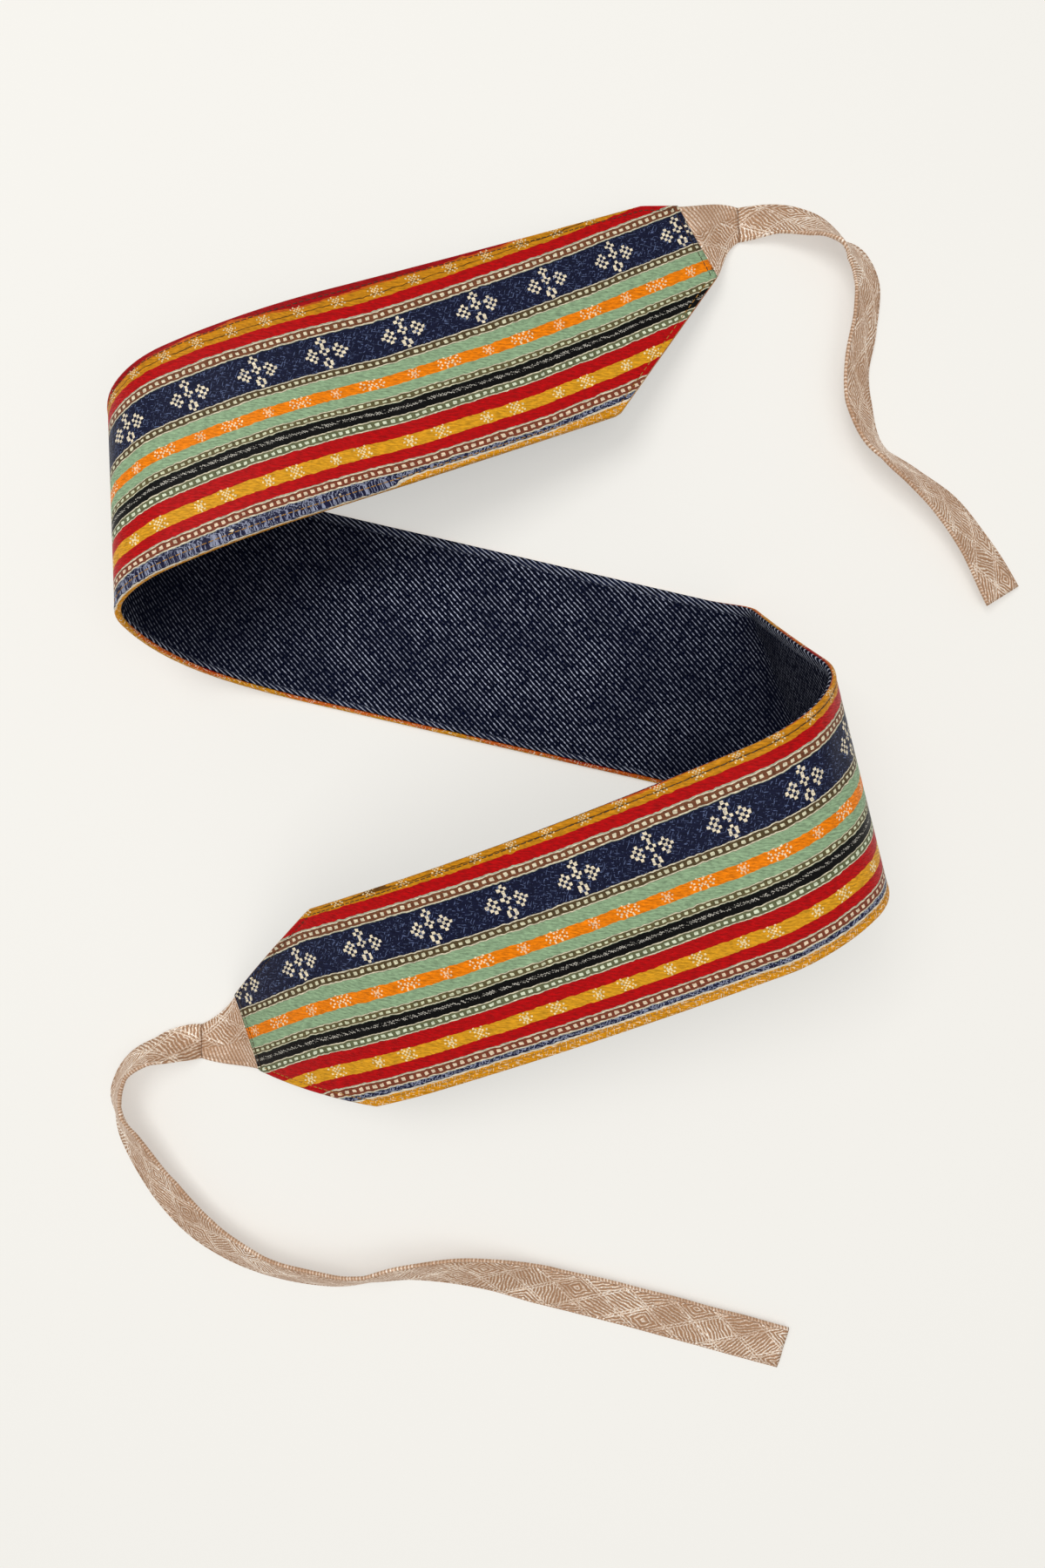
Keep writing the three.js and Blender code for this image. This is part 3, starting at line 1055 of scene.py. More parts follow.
@dataclass(frozen=True)
class Studio:
    """The camera straight over the belt, and a large soft light from the upper left."""

    camera_place: tuple[float, float, float] = (-0.02239, 0.00119, 0.50135)
    lens: float = 21.79
    sensor: float = 36.0
    surroundings: str = "#FFFEFB"
    brightness: float = 0.4

    def build(self) -> None:
        """Adds the camera, the lights and the pale surroundings."""
        camera = bpy.data.cameras.new("camera")
        camera.lens = self.lens
        camera.sensor_fit = "VERTICAL"
        camera.sensor_height = self.sensor
        camera.clip_start = 0.01
        holder = bpy.data.objects.new("camera", camera)
        holder.location = self.camera_place
        bpy.context.scene.collection.objects.link(holder)
        bpy.context.scene.camera = holder
        self._softbox("key light", (-0.6, 0.55, 1.85), 1.0, 18.0)
        self._softbox("top light", (0.45, -0.45, 2.1), 1.6, 13.0)
        world = bpy.data.worlds.new("studio")
        world.use_nodes = True
        background = world.node_tree.nodes["Background"]
        background.inputs[0].default_value = linear(self.surroundings)
        background.inputs[1].default_value = self.brightness
        bpy.context.scene.world = world
        bpy.context.scene.view_settings.view_transform = "Standard"

    @staticmethod
    def _softbox(name: str, place: tuple[float, float, float], size: float, power: float) -> None:
        """Adds one square softbox that faces the belt.

        Args:
            name: Name of the light.
            place: Where it stands.
            size: Its side.
            power: Watts.
        """
        light = bpy.data.lights.new(name, "AREA")
        light.size = size
        light.energy = power
        holder = bpy.data.objects.new(name, light)
        holder.location = place
        aim = -np.array(place)
        aim /= np.linalg.norm(aim)
        holder.rotation_euler = (math.acos(-aim[2]), 0, math.atan2(aim[1], aim[0]) - math.pi / 2)
        bpy.context.scene.collection.objects.link(holder)


def dress(piece: bpy.types.Object, node: str, material: bpy.types.Material) -> None:
    """Gives a piece its finish and says which solid it stands for.

    Args:
        piece: The piece.
        node: The solid that it replaces.
        material: Its material.
    """
    piece.data.materials.clear()
    piece.data.materials.append(material)
    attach(piece, BODY)
    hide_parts(node)
    log.info("%s: %d faces, replaces %s", piece.name, len(piece.data.polygons), node)


@dataclass(frozen=True)
class Chart:
    """A small woven motif in a chart, one mark for each raised square of weft.

    cell is a square's side, repeat the distance between motifs along the belt, start where the motif
    begins in the repeat, top how far it lies down from the upper edge, and fill the share of its cell
    that a square covers.
    """

    rows: tuple[str, ...]
    cell: float
    repeat: float
    start: float
    top: float
    fill: float = 0.84

    def mask(self, add: AddNode, along: bpy.types.Node, down: bpy.types.Node) -> bpy.types.Node:
        """Adds the nodes that draw the chart.

        Args:
            add: Adds a node to the material.
            along: Millimetres along the cloth.
            down: Millimetres down from the upper edge.

        Returns:
            A node that is 1 on the motif's squares.
        """
        shifted = add(MATH, {0: along, 1: self.start}, operation="SUBTRACT")
        wrapped = add(MATH, {0: shifted, 1: self.repeat}, operation="FLOORED_MODULO")
        column = add(MATH, {0: wrapped, 1: self.cell}, operation="DIVIDE")
        lowered = add(MATH, {0: down, 1: self.top}, operation="SUBTRACT")
        row = add(MATH, {0: lowered, 1: self.cell}, operation="DIVIDE")
        row_number = add(MATH, {0: row}, operation="FLOOR")
        bits = 0.5
        for i, marks in enumerate(self.rows):
            value = sum(2**k for k, mark in enumerate(marks) if mark == "#")
            here = add(MATH, {0: row_number, 1: i, 2: 0.5}, operation="COMPARE")
            bits = add(MATH, {0: here, 1: value, 2: bits}, operation="MULTIPLY_ADD")
        column_number = add(MATH, {0: column}, operation="FLOOR")
        place = add(MATH, {0: 2.0, 1: column_number}, operation="POWER")
        shared = add(MATH, {0: bits, 1: place}, operation="DIVIDE")
        whole = add(MATH, {0: shared}, operation="FLOOR")
        marked = add(MATH, {0: whole, 1: 2.0}, operation="FLOORED_MODULO")
        aside = [off_middle(add, number) for number in (column, row)]
        off = add(MATH, {0: aside[0], 1: aside[1]}, operation="MAXIMUM")
        inside = add(MATH, {0: off, 1: self.fill / 2}, operation="LESS_THAN")
        return add(MATH, {0: marked, 1: inside}, operation="MULTIPLY")


BLOSSOM_CLUSTER = (
    "......#......",
    ".....#.#.....",
    "......#......",
    "..#...#...#..",
    ".#.#.#.#.#.#.",
    "#.#...#...#.#",
    ".#.#.....#.#.",
    "..#...#...#..",
    ".....#.#.....",
    ".....#.#.....",
    "......#......",
)
LARGE_SPRIG = (
    "....#...#....",
    ".#...#.#...#.",
    "..#.......#..",
    "#...#.#.#...#",
    "..#..#.#..#..",
    ".#..#...#..#.",
    "....#...#....",
)
SMALL_SPRIG = (
    "...#...",
    ".#...#.",
    "..#.#..",
    "#.###.#",
    "..#.#..",
    ".#.#.#.",
    "...#...",
)
FIVE_PETALS = (
    "..#...#..",
    "...#.#..#",
    "#.#.#.#..",
    "...#.#...",
    ".#..#..#.",
    "#..#.#...",
    "..#...#..",
)


@dataclass(frozen=True)
class Stripe:
    """One warp stripe: where it starts, down from the upper edge, and its colour."""

    name: str
    start: float
    colour: str


STRIPES = (
    Stripe("turned red", -6.0, "#9B0C12"),
    Stripe("turned orange", -1.6, "#C25A16"),
    Stripe("gold", -0.9, "#C68312"),
    Stripe("stitched line", 2.3, "#6A4310"),
    Stripe("gold", 2.8, "#C68312"),
    Stripe("red", 4.8, "#B3060B"),
    Stripe("pale mint", 10.1, "#A3B39A"),
    Stripe("navy", 15.4, "#121630"),
    Stripe("mint", 38.1, "#8FAB86"),
    Stripe("orange", 43.6, "#EE8004"),
    Stripe("mint", 49.3, "#8FAB86"),
    Stripe("black", 58.2, "#080707"),
    Stripe("red", 69.0, "#B3060B"),
    Stripe("yellow", 75.1, "#D99A1E"),
    Stripe("red", 81.1, "#B3060B"),
    Stripe("pale mint", 86.6, "#A3B39A"),
    Stripe("navy", 91.7, "#191A38"),
    Stripe("cream", 94.0, "#D8CDB8"),
    Stripe("gold", 94.9, "#D28C10"),
    Stripe("turned gold", 99.0, "#C88610"),
    Stripe("turned orange", 102.5, "#C25A16"),
    Stripe("turned red", 104.0, "#9B1710"),
    Stripe("turned gold", 105.0, "#C98F1F"),
)


@dataclass(frozen=True)
class BeadRow:
    """A narrow row of woven beads between two cream lines: its middle line and half its height."""

    middle: float
    reach: float
    ground: str
    bead: str


BEAD_ROWS = (
    BeadRow(13.1, 2.4, "#74472F", "#E2D6B8"),
    BeadRow(35.9, 2.3, "#55462C", "#D6D2B2"),
    BeadRow(56.5, 1.85, "#625A3A", "#D3D6B4"),
    BeadRow(66.8, 2.2, "#66694A", "#DAE2C6"),
    BeadRow(89.4, 2.45, "#7B3F2B", "#E6CFB2"),
)


@dataclass(frozen=True)
class Floats:
    """Loose weft floats over one stripe.

    middle and reach are the stripe's middle and half its width, turns how far each set of floats is
    turned from the belt's length, cut how rare they are, and strength how far they cover.
    """

    middle: float
    reach: float
    turns: tuple[float, float]
    cut: float
    colour: str
    strength: float = 0.7

    def mask(self, add: AddNode, flat: bpy.types.Node, down: bpy.types.Node) -> bpy.types.Node:
        """Adds the nodes that draw the floats.

        Args:
            add: Adds a node to the material.
            flat: The cloth's map in millimetres.
            down: Millimetres down from the upper edge.

        Returns:
            A mask.
        """
        masks = []
        for turn in self.turns:
            streak = streaks(add, flat, turn, (2.6, 0.55), {"Detail": 1.0, "Distortion": 0.4})
            masks.append(add(MATH, {0: streak, 1: self.cut}, operation="GREATER_THAN"))
        both = add(MATH, {0: masks[0], 1: masks[1]}, operation="MAXIMUM")
        off = add(MATH, {0: down, 1: self.middle, 2: self.reach}, operation="COMPARE")
        here = add(MATH, {0: both, 1: off}, operation="MULTIPLY")
        return add(MATH, {0: here, 1: self.strength}, operation="MULTIPLY")


LOOSE_FLOATS = (
    Floats(24.8, 8.6, (24, -50), 0.655, "#66759C"),
    Floats(92.85, 1.15, (24, -50), 0.58, "#A3A9BF"),
    Floats(99.5, 4.3, (20, -65), 0.64, "#F0E3C8"),
)


@dataclass(frozen=True)
class Brocade:
    """Striped silk brocade, woven: a ribbed, silky ground with raised cream weft figures.

    bead_pitch is the beads' spacing, bead_cut and bead_rounding their size and roundness as shares of a
    row's half height, line_from and line_to where the row's cream lines lie in it, chain_middle,
    chain_swing and chain_thread the chain's place, half width and thread, and figure_lift how far the
    figures stand up from the ground.
    """

    first: float = -6.0
    span: float = 113.0
    bead_pitch: float = 3.5
    bead_cut: float = 0.33
    bead_rounding: float = 0.2
    line_from: float = 0.76
    line_to: float = 0.97
    chain_middle: float = 61.3
    chain_swing: float = 1.3
    chain_thread: float = 0.26
    figure_lift: float = 0.45
    cream: str = "#F0E2C4"
    line: str = "#DDD3B8"
    chain: str = "#A8A49A"

    def material(self) -> bpy.types.Material:
        """Makes the material.

        Returns:
            The material, in the cloth's own map.
        """
        material = blank_material("Silk brocade, woven")
        tree = material.node_tree
        add = partial(add_node, tree)
        flat = cloth_map(add)
        # Threads aren't quite straight: each figure is out of line by a third of a millimetre.
        stray = add(NOISE, {"Vector": flat, "Scale": 0.33, "Detail": 1.0})
        centred = add(VECTOR, {0: stray.outputs["Color"], 1: (0.5, 0.5, 0.5)}, operation="SUBTRACT")
        strayed = add(VECTOR, {0: centred, 1: (1.3, 1.3, 0.0), 2: flat}, operation="MULTIPLY_ADD")
        parts = add("ShaderNodeSeparateXYZ", {0: strayed})
        along = parts.outputs["X"]
        down = add(MATH, {0: HALF_WIDTH, 1: parts.outputs["Y"]}, operation="SUBTRACT")
        # The cloth isn't turned over at quite the same thread all along, so the edges' bands wander.
        wander = add(NOISE, {"Vector": flat, "Scale": 0.022, "Detail": 2.0})
        wander = add(RANGE, {0: wander, 1: 0.3, 2: 0.7, 3: -2.0, 4: 2.0})
        off = add(MATH, {0: parts.outputs["Y"]}, operation="ABSOLUTE")
        edge = add(RANGE, {0: off, 1: 47.5, 2: 49.0})
        wander = add(MATH, {0: wander.outputs[0], 1: edge.outputs[0]}, operation="MULTIPLY")
        wandered = add(MATH, {0: down, 1: wander}, operation="ADD")
        share = add(MATH, {0: wandered, 1: self.first}, operation="SUBTRACT")
        share = add(MATH, {0: share, 1: self.span}, operation="DIVIDE")

        colour = self._ramp(add, share, [(stripe.start, stripe.colour) for stripe in STRIPES])
        # The silk's short slanting weft floats are 3 mm long, drawn about twice as wide as the real
        # thread, so that they show.
        grain = streaks(add, flat, 24, (3.2, 0.75), {"Detail": 3.0, "Roughness": 0.6, "Distortion": 0.3})
        figures = []

        near = None
        for row in BEAD_ROWS:
            off = add(MATH, {0: down, 1: row.middle}, operation="SUBTRACT")
            off = add(MATH, {0: off}, operation="ABSOLUTE")
            off = add(MATH, {0: off, 1: row.reach}, operation="DIVIDE")
            near = off if near is None else add(MATH, {0: near, 1: off}, operation="MINIMUM")
        edges = [(a.middle + b.middle) / 2 for a, b in zip(BEAD_ROWS, BEAD_ROWS[1:])]
        starts = [self.first, *edges]
        ground = self._ramp(add, share, [(at, row.ground) for at, row in zip(starts, BEAD_ROWS)])
        bead = self._ramp(add, share, [(at, row.bead) for at, row in zip(starts, BEAD_ROWS)])
        in_row = add(MATH, {0: near, 1: 1.0}, operation="LESS_THAN")
        outside = add(MATH, {0: near, 1: self.line_from}, operation="GREATER_THAN")
        inside = add(MATH, {0: near, 1: self.line_to}, operation="LESS_THAN")
        line = add(MATH, {0: outside, 1: inside}, operation="MULTIPLY")
        step = add(MATH, {0: along, 1: self.bead_pitch}, operation="DIVIDE")
        step = add(MATH, {0: off_middle(add, step), 1: 1.25}, operation="MULTIPLY")
        beads = add(MATH, {0: step, 1: near, 2: self.bead_rounding}, operation="SMOOTH_MAX")
        beads = add(MATH, {0: beads, 1: self.bead_cut}, operation="LESS_THAN")
        colour = self._laid(add, colour, ground, in_row)
        colour = self._laid(add, colour, linear(self.line), line)
        colour = self._laid(add, colour, bead, beads)
        figures += [beads, line]

        charts = (
            (Chart(BLOSSOM_CLUSTER, 1.52, REPEAT, -9.9, 16.4, 0.97), self.cream, 1.0),
            (Chart(LARGE_SPRIG, 0.86, REPEAT, 15.8, 43.4, 0.95), "#FAE6C0", 0.9),
            (Chart(SMALL_SPRIG, 0.8, REPEAT, 0.0, 43.7, 0.95), "#FAE6C0", 0.65),
            (Chart(FIVE_PETALS, 0.9, REPEAT, -2.0, 75.0, 0.95), "#FAEBBE", 0.8),
            (Chart(SMALL_SPRIG, 0.85, REPEAT, 13.0, 75.3, 0.95), "#FAEBBE", 0.8),
            (Chart(FIVE_PETALS, 0.75, REPEAT / 2, 18.3, -1.0, 0.95), "#F0DFB4", 0.75),
        )
        for chart, shade, strength in charts:
            marks = chart.mask(add, along, down)
            worn = add(MATH, {0: marks, 1: strength}, operation="MULTIPLY")
            colour = self._laid(add, colour, linear(shade), worn)
            figures.append(worn)

        colour = self._laid(add, colour, linear(self.chain), self._chain(add, along, down, grain))
        for floats in LOOSE_FLOATS:
            colour = self._laid(add, colour, linear(floats.colour), floats.mask(add, flat, down))

        light = add(RANGE, {0: grain, 1: 0.34, 2: 0.66, 3: 0.62, 4: 1.25})
        colour = add(VECTOR, {0: colour, "Scale": light.outputs[0]}, operation="SCALE")
        height = grain
        for figure in figures:
            height = add(MATH, {0: figure, 1: self.figure_lift, 2: height}, operation="MULTIPLY_ADD")
        bump = add("ShaderNodeBump", {"Strength": 0.55, "Distance": 0.0004, "Height": height})
        sheen = add(RANGE, {0: grain, 1: 0.3, 2: 0.7, 3: 0.55, 4: 0.4})
        shader = tree.nodes["Principled BSDF"]
        tree.links.new(colour.outputs[0], shader.inputs["Base Color"])
        tree.links.new(sheen.outputs[0], shader.inputs["Roughness"])
        tree.links.new(bump.outputs[0], shader.inputs["Normal"])
        shader.inputs["Specular IOR Level"].default_value = 0.1
        shader.inputs["Sheen Weight"].default_value = 0.02
        shader.inputs["Sheen Roughness"].default_value = 0.4
        return material

    def _ramp(self, add: AddNode, share: bpy.types.Node, rows: list) -> bpy.types.NodeSocket:
        """Adds hard-edged bands of colour down the cloth.

        Args:
            add: Adds a node to the material.
            share: How far down the cloth, 0 to 1 over the ramp's span.
            rows: Pairs of a start in millimetres and a colour.

        Returns:
            The colour.
        """
        ramp = add("ShaderNodeValToRGB", {0: share})
        ramp.color_ramp.interpolation = "CONSTANT"
        marks = ramp.color_ramp.elements
        while len(marks) < len(rows):
            marks.new(1.0)
        for mark, (start, colour) in zip(marks, rows):
            mark.position = (start - self.first) / self.span
            mark.color = linear(colour)
        return ramp.outputs[0]

    @staticmethod
    def _laid(add: AddNode, under: object, over: object, mask: bpy.types.Node) -> bpy.types.NodeSocket:
        """Lays one colour over another where a mask is 1.

        Args:
            add: Adds a node to the material.
            under: The colour below.
            over: The colour laid on.
            mask: Where it covers.

        Returns:
            The colour.
        """
        mixed = add(MIX, {0: mask, 6: under, 7: over}, data_type="RGBA")
        return mixed.outputs[2]

    def _chain(
        self, add: AddNode, along: bpy.types.NodeSocket, down: bpy.types.Node, grain: bpy.types.Node
    ) -> bpy.types.Node:
        """Adds the thin broken zigzag chain in the black stripe.

        Args:
            add: Adds a node to the material.
            along: Millimetres along the cloth.
            down: Millimetres down from the upper edge.
            grain: The weave's floats, which break the chain.

        Returns:
            A mask.
        """
        swing = add(MATH, {0: along, 1: self.chain_swing}, operation="PINGPONG")
        swing = add(MATH, {0: swing, 1: self.chain_swing / 2}, operation="SUBTRACT")
        off = add(MATH, {0: down, 1: self.chain_middle}, operation="SUBTRACT")
        one = add(MATH, {0: off, 1: swing}, operation="SUBTRACT")
        two = add(MATH, {0: off, 1: swing}, operation="ADD")
        one = add(MATH, {0: one}, operation="ABSOLUTE")
        two = add(MATH, {0: two}, operation="ABSOLUTE")
        near = add(MATH, {0: one, 1: two}, operation="MINIMUM")
        line = add(MATH, {0: near, 1: self.chain_thread}, operation="LESS_THAN")
        whole = add(MATH, {0: grain, 1: 0.5}, operation="GREATER_THAN")
        return add(MATH, {0: line, 1: whole}, operation="MULTIPLY")


@dataclass(frozen=True)
class Denim:
    """Dark indigo cotton denim, twill woven: matt, with pale flecks where the white weft comes through."""

    dark: str = "#050817"
    light: str = "#121832"
    fleck: str = "#C4CADC"
    slant: float = 36.0

    def material(self) -> bpy.types.Material:
        """Makes the material.

        Returns:
            The material, in the cloth's own map.
        """
        material = blank_material("Indigo cotton denim, twill woven")
        tree = material.node_tree
        add = partial(add_node, tree)
        flat = cloth_map(add)
        # The real twill line is about 0.7 mm; it is drawn at 2.1 mm, in dashes, so that it shows.
        diagonal = add("ShaderNodeMapping", {"Vector": flat, "Rotation": (0, 0, math.radians(self.slant))})
        twill = add(
            "ShaderNodeTexWave",
            {"Vector": diagonal, "Scale": 0.15, "Distortion": 1.2, "Detail": 2.0, "Detail Scale": 0.8},
            bands_direction="Y",
        )
        dashes = add(
            "ShaderNodeTexWave",
            {"Vector": diagonal, "Scale": 0.12, "Distortion": 3.2, "Detail": 2.0, "Detail Scale": 1.4},
            bands_direction="X",
        )
        slub = streaks(add, flat, -self.slant, (3.2, 0.9), {"Detail": 3.0, "Roughness": 0.65})
        slub = add(RANGE, {0: slub, 1: 0.32, 2: 0.68, 3: 0.25, 4: 0.85})
        slub = slub.outputs[0]
        worn = add(NOISE, {"Vector": flat, "Scale": 0.03, "Detail": 2.0})
        depth = add(MATH, {0: twill, 1: slub}, operation="MULTIPLY")
        narrow = add(MATH, {0: twill, 1: 2.5}, operation="POWER")
        dashed = add(MATH, {0: dashes.outputs[1], 1: 0.4, 2: 0.6}, operation="MULTIPLY_ADD")
        dotted = add(MATH, {0: narrow, 1: dashed}, operation="MULTIPLY")
        dotted = add(MATH, {0: dotted, 1: slub}, operation="MULTIPLY")
        # Painted shade: towards both folded ends, inside the rolls, the denim and its flecks are darkened;
        # the flat middle is paler, with flecks in clouds of wear.
        parts = add("ShaderNodeSeparateXYZ", {0: flat})
        away = add(MATH, {0: parts.outputs["X"]}, operation="ABSOLUTE")
        roll_shade = add(RANGE, {0: away, 1: 60.0, 2: 150.0, 3: 1.0, 4: 0.4})
        shade = add(RANGE, {0: depth, 1: 0.1, 2: 0.5})
        shade = add(MATH, {0: shade.outputs[0], 1: roll_shade.outputs[0]}, operation="MULTIPLY")
        colour = add(MIX, {0: shade, 6: linear(self.dark), 7: linear(self.light)}, data_type="RGBA")
        flecks = add(RANGE, {0: dotted, 1: 0.28, 2: 0.5})
        patchy = add(RANGE, {0: worn, 1: 0.38, 2: 0.62, 3: 0.45, 4: 0.9})
        patchy = add(MATH, {0: patchy.outputs[0], 1: roll_shade.outputs[0]}, operation="MULTIPLY")
        flecks = add(MATH, {0: flecks.outputs[0], 1: patchy}, operation="MULTIPLY")
        # Along the last five millimetres of both edges the turned cloth pulls the twill into slanting ropes.
        off = add(MATH, {0: parts.outputs["Y"]}, operation="ABSOLUTE")
        rope = add(MATH, {0: parts.outputs["Y"], 1: 3.3}, operation="MULTIPLY")
        rope = add(MATH, {0: parts.outputs["X"], 1: 1.6, 2: rope}, operation="MULTIPLY_ADD")
        rope = add(MATH, {0: rope}, operation="SINE")
        rope = add(MATH, {0: rope, 1: slub}, operation="MULTIPLY")
        rope = add(RANGE, {0: rope, 1: 0.2, 2: 0.6, 3: 0.0, 4: 0.7})
        hem = add(RANGE, {0: off, 1: 45.0, 2: 45.6})
        flecks = add(MIX, {0: hem.outputs[0], 2: flecks, 3: rope.outputs[0]})
        flecks = flecks.outputs[0]
        colour = add(MIX, {0: flecks, 6: colour.outputs[2], 7: linear(self.fleck)}, data_type="RGBA")
        bump = add("ShaderNodeBump", {"Strength": 0.6, "Distance": 0.0005, "Height": depth})
        shader = tree.nodes["Principled BSDF"]
        tree.links.new(colour.outputs[2], shader.inputs["Base Color"])
        tree.links.new(bump.outputs[0], shader.inputs["Normal"])
        shader.inputs["Roughness"].default_value = 0.93
        shader.inputs["Specular IOR Level"].default_value = 0.05
        return material


@dataclass(frozen=True)
class Jacquard:
    """Rose-gold jacquard with metal-wrapped weft, woven: glossy hatched patches on a satin ground.

    lozenge is the pattern's pitch, fence_inset and fence_thread the place and thickness of the lines that
    part it, turn_step the angle between hatchings, and line_rate and line_bend how close and how wavy
    the hatching is.
    """

    ground: str = "#AC8261"
    figure: str = "#F6DCC2"
    glint_white: str = "#FFF8F0"
    lozenge: float = 13.0
    fence_inset: float = 0.75
    fence_thread: float = 0.28
    turn_step: float = 0.63
    line_rate: float = 3.7
    line_bend: float = 2.4

    def material(self) -> bpy.types.Material:
        """Makes the material.

        Returns:
            The material, in the strap's own map.
        """
        material = blank_material("Rose-gold jacquard, woven")
        tree = material.node_tree
        add = partial(add_node, tree)
        flat = cloth_map(add)
        parts = add("ShaderNodeSeparateXYZ", {0: flat})
        # Double lines cross at a slant and part the cloth into lozenges about 25 mm long.
        numbers, inner, fences = [], [], []
        for slant in (math.radians(33), math.radians(-29)):
            part = add(MATH, {0: parts.outputs["Y"], 1: math.cos(slant)}, operation="MULTIPLY")
            place = add(MATH, {0: parts.outputs["X"], 1: math.sin(slant), 2: part}, operation="MULTIPLY_ADD")
            place = add(MATH, {0: place, 1: self.lozenge}, operation="DIVIDE")
            numbers.append(add(MATH, {0: place}, operation="FLOOR"))
            inner.append(add(MATH, {0: off_middle(add, place), 1: self.lozenge}, operation="MULTIPLY"))
            line_at = self.lozenge / 2 - self.fence_inset
            fences.append(add(MATH, {0: inner[-1], 1: line_at, 2: self.fence_thread}, operation="COMPARE"))
        lozenge = add("ShaderNodeCombineXYZ", {0: numbers[0], 1: numbers[1]})
        chance = add("ShaderNodeTexWhiteNoise", {"Vector": lozenge})
        chance = add("ShaderNodeSeparateColor", {0: chance.outputs["Color"]})
        # Each lozenge is hatched with fine lines in one of five directions, or with nested squares.
        turn = add(MATH, {0: chance.outputs[0], 1: 5.0}, operation="MULTIPLY")
        turn = add(MATH, {0: turn}, operation="FLOOR")
        turn = add(MATH, {0: turn, 1: self.turn_step}, operation="MULTIPLY")
        cosine = add(MATH, {0: turn}, operation="COSINE")
        sine = add(MATH, {0: turn}, operation="SINE")
        part = add(MATH, {0: parts.outputs["Y"], 1: sine}, operation="MULTIPLY")
        hatch = add(MATH, {0: parts.outputs["X"], 1: cosine, 2: part}, operation="MULTIPLY_ADD")
        nested = add(MATH, {0: inner[0], 1: inner[1]}, operation="MAXIMUM")
        squares = add(MATH, {0: chance.outputs[1], 1: 0.55}, operation="GREATER_THAN")
        lines = add(MIX, {0: squares, 2: hatch, 3: nested})
        bent = add(NOISE, {"Vector": flat, "Scale": 0.22, "Detail": 1.0})
        bent = add(MATH, {0: bent, 1: self.line_bend, 2: lines.outputs[0]}, operation="MULTIPLY_ADD")
        wave = add(MATH, {0: bent, 1: self.line_rate}, operation="MULTIPLY")
        wave = add(MATH, {0: wave}, operation="SINE")
        raised = add(RANGE, {0: wave, 1: -0.2, 2: 0.6, 3: 0.0, 4: 0.95})
        fence = add(MATH, {0: fences[0], 1: fences[1]}, operation="MAXIMUM")
        figure = add(MATH, {0: raised.outputs[0], 1: fence}, operation="MAXIMUM")
        # Close to both edges the turned cloth shows short slanting ribs.
        off = add(MATH, {0: parts.outputs["Y"]}, operation="ABSOLUTE")
        edge = add(RANGE, {0: off, 1: 10.3, 2: 10.6})
        rib = add(MATH, {0: parts.outputs["X"], 1: 3.6, 2: off}, operation="MULTIPLY_ADD")
        rib = add(MATH, {0: rib}, operation="SINE")
        rib = add(RANGE, {0: rib, 1: -1.0, 2: 1.0, 3: 0.0, 4: 0.7})
        figure = add(MIX, {0: edge.outputs[0], 2: figure, 3: rib.outputs[0]})
        grain = add(NOISE, {"Vector": flat, "Scale": 0.9, "Detail": 4.0, "Roughness": 0.7})
        # Metal-wrapped weft is dull where it lies flat and bright where it floats, in patches and in drifts.
        # Painted sheen: the metal-wrapped weft's figures are lightened in broad clouds where they would catch
        # the light, on top of a lightness that varies from lozenge to lozenge.
        sheen_drift = add(NOISE, {"Vector": flat, "Scale": 0.05, "Detail": 2.0})
        sheen_drift = add(RANGE, {0: sheen_drift, 1: 0.38, 2: 0.62, 3: 0.5, 4: 1.2})
        tone_and_sheen = add(MATH, {0: chance.outputs[2], 1: 0.55, 2: 0.55}, operation="MULTIPLY_ADD")
        tone_and_sheen = add(MATH, {0: tone_and_sheen, 1: sheen_drift.outputs[0]}, operation="MULTIPLY")
        cover = add(MATH, {0: figure.outputs[0], 1: tone_and_sheen}, operation="MULTIPLY")
        colour = add(MIX, {0: cover, 6: linear(self.ground), 7: linear(self.figure)}, data_type="RGBA")
        # Painted highlight: near-white glints laid on the figures where the fine grain is high.
        glints = add(RANGE, {0: grain, 1: 0.48, 2: 0.6, 3: 0.0, 4: 1.0})
        glints = add(MATH, {0: glints.outputs[0], 1: cover}, operation="MULTIPLY")
        colour = add(MIX, {0: glints, 6: colour.outputs[2], 7: linear(self.glint_white)}, data_type="RGBA")
        shadow = add(RANGE, {0: grain, 1: 0.3, 2: 0.7, 3: 0.85, 4: 1.3})
        colour = add(VECTOR, {0: colour.outputs[2], "Scale": shadow.outputs[0]}, operation="SCALE")
        gloss = add(RANGE, {0: cover, 3: 0.5, 4: 0.3})
        height = add(MATH, {0: figure.outputs[0], 1: 0.8, 2: grain}, operation="MULTIPLY_ADD")
        bump = add("ShaderNodeBump", {"Strength": 0.7, "Distance": 0.0005, "Height": height})
        shader = tree.nodes["Principled BSDF"]
        tree.links.new(colour.outputs[0], shader.inputs["Base Color"])
        tree.links.new(gloss.outputs[0], shader.inputs["Roughness"])
        tree.links.new(bump.outputs[0], shader.inputs["Normal"])
        shader.inputs["Metallic"].default_value = 0.3
        return material


@dataclass(frozen=True)
class Thread:
    """Polyester sewing thread, twisted: a slightly glossy cord."""

    name: str
    colour: str
    shade: float = 0.55

    def material(self) -> bpy.types.Material:
        """Makes the material.

        Returns:
            The material.
        """
        material = blank_material(f"Polyester thread, twisted, {self.name}")
        tree = material.node_tree
        add = partial(add_node, tree)
        place = add("ShaderNodeTexCoord")
        twist = add(NOISE, {"Vector": place.outputs["Object"], "Scale": 900.0, "Detail": 1.0})
        dark = tuple(value * self.shade for value in linear(self.colour)[:3]) + (1.0,)
        colour = add(MIX, {0: twist, 6: dark, 7: linear(self.colour)}, data_type="RGBA")
        shader = tree.nodes["Principled BSDF"]
        tree.links.new(colour.outputs[2], shader.inputs["Base Color"])
        shader.inputs["Roughness"].default_value = 0.55
        return material


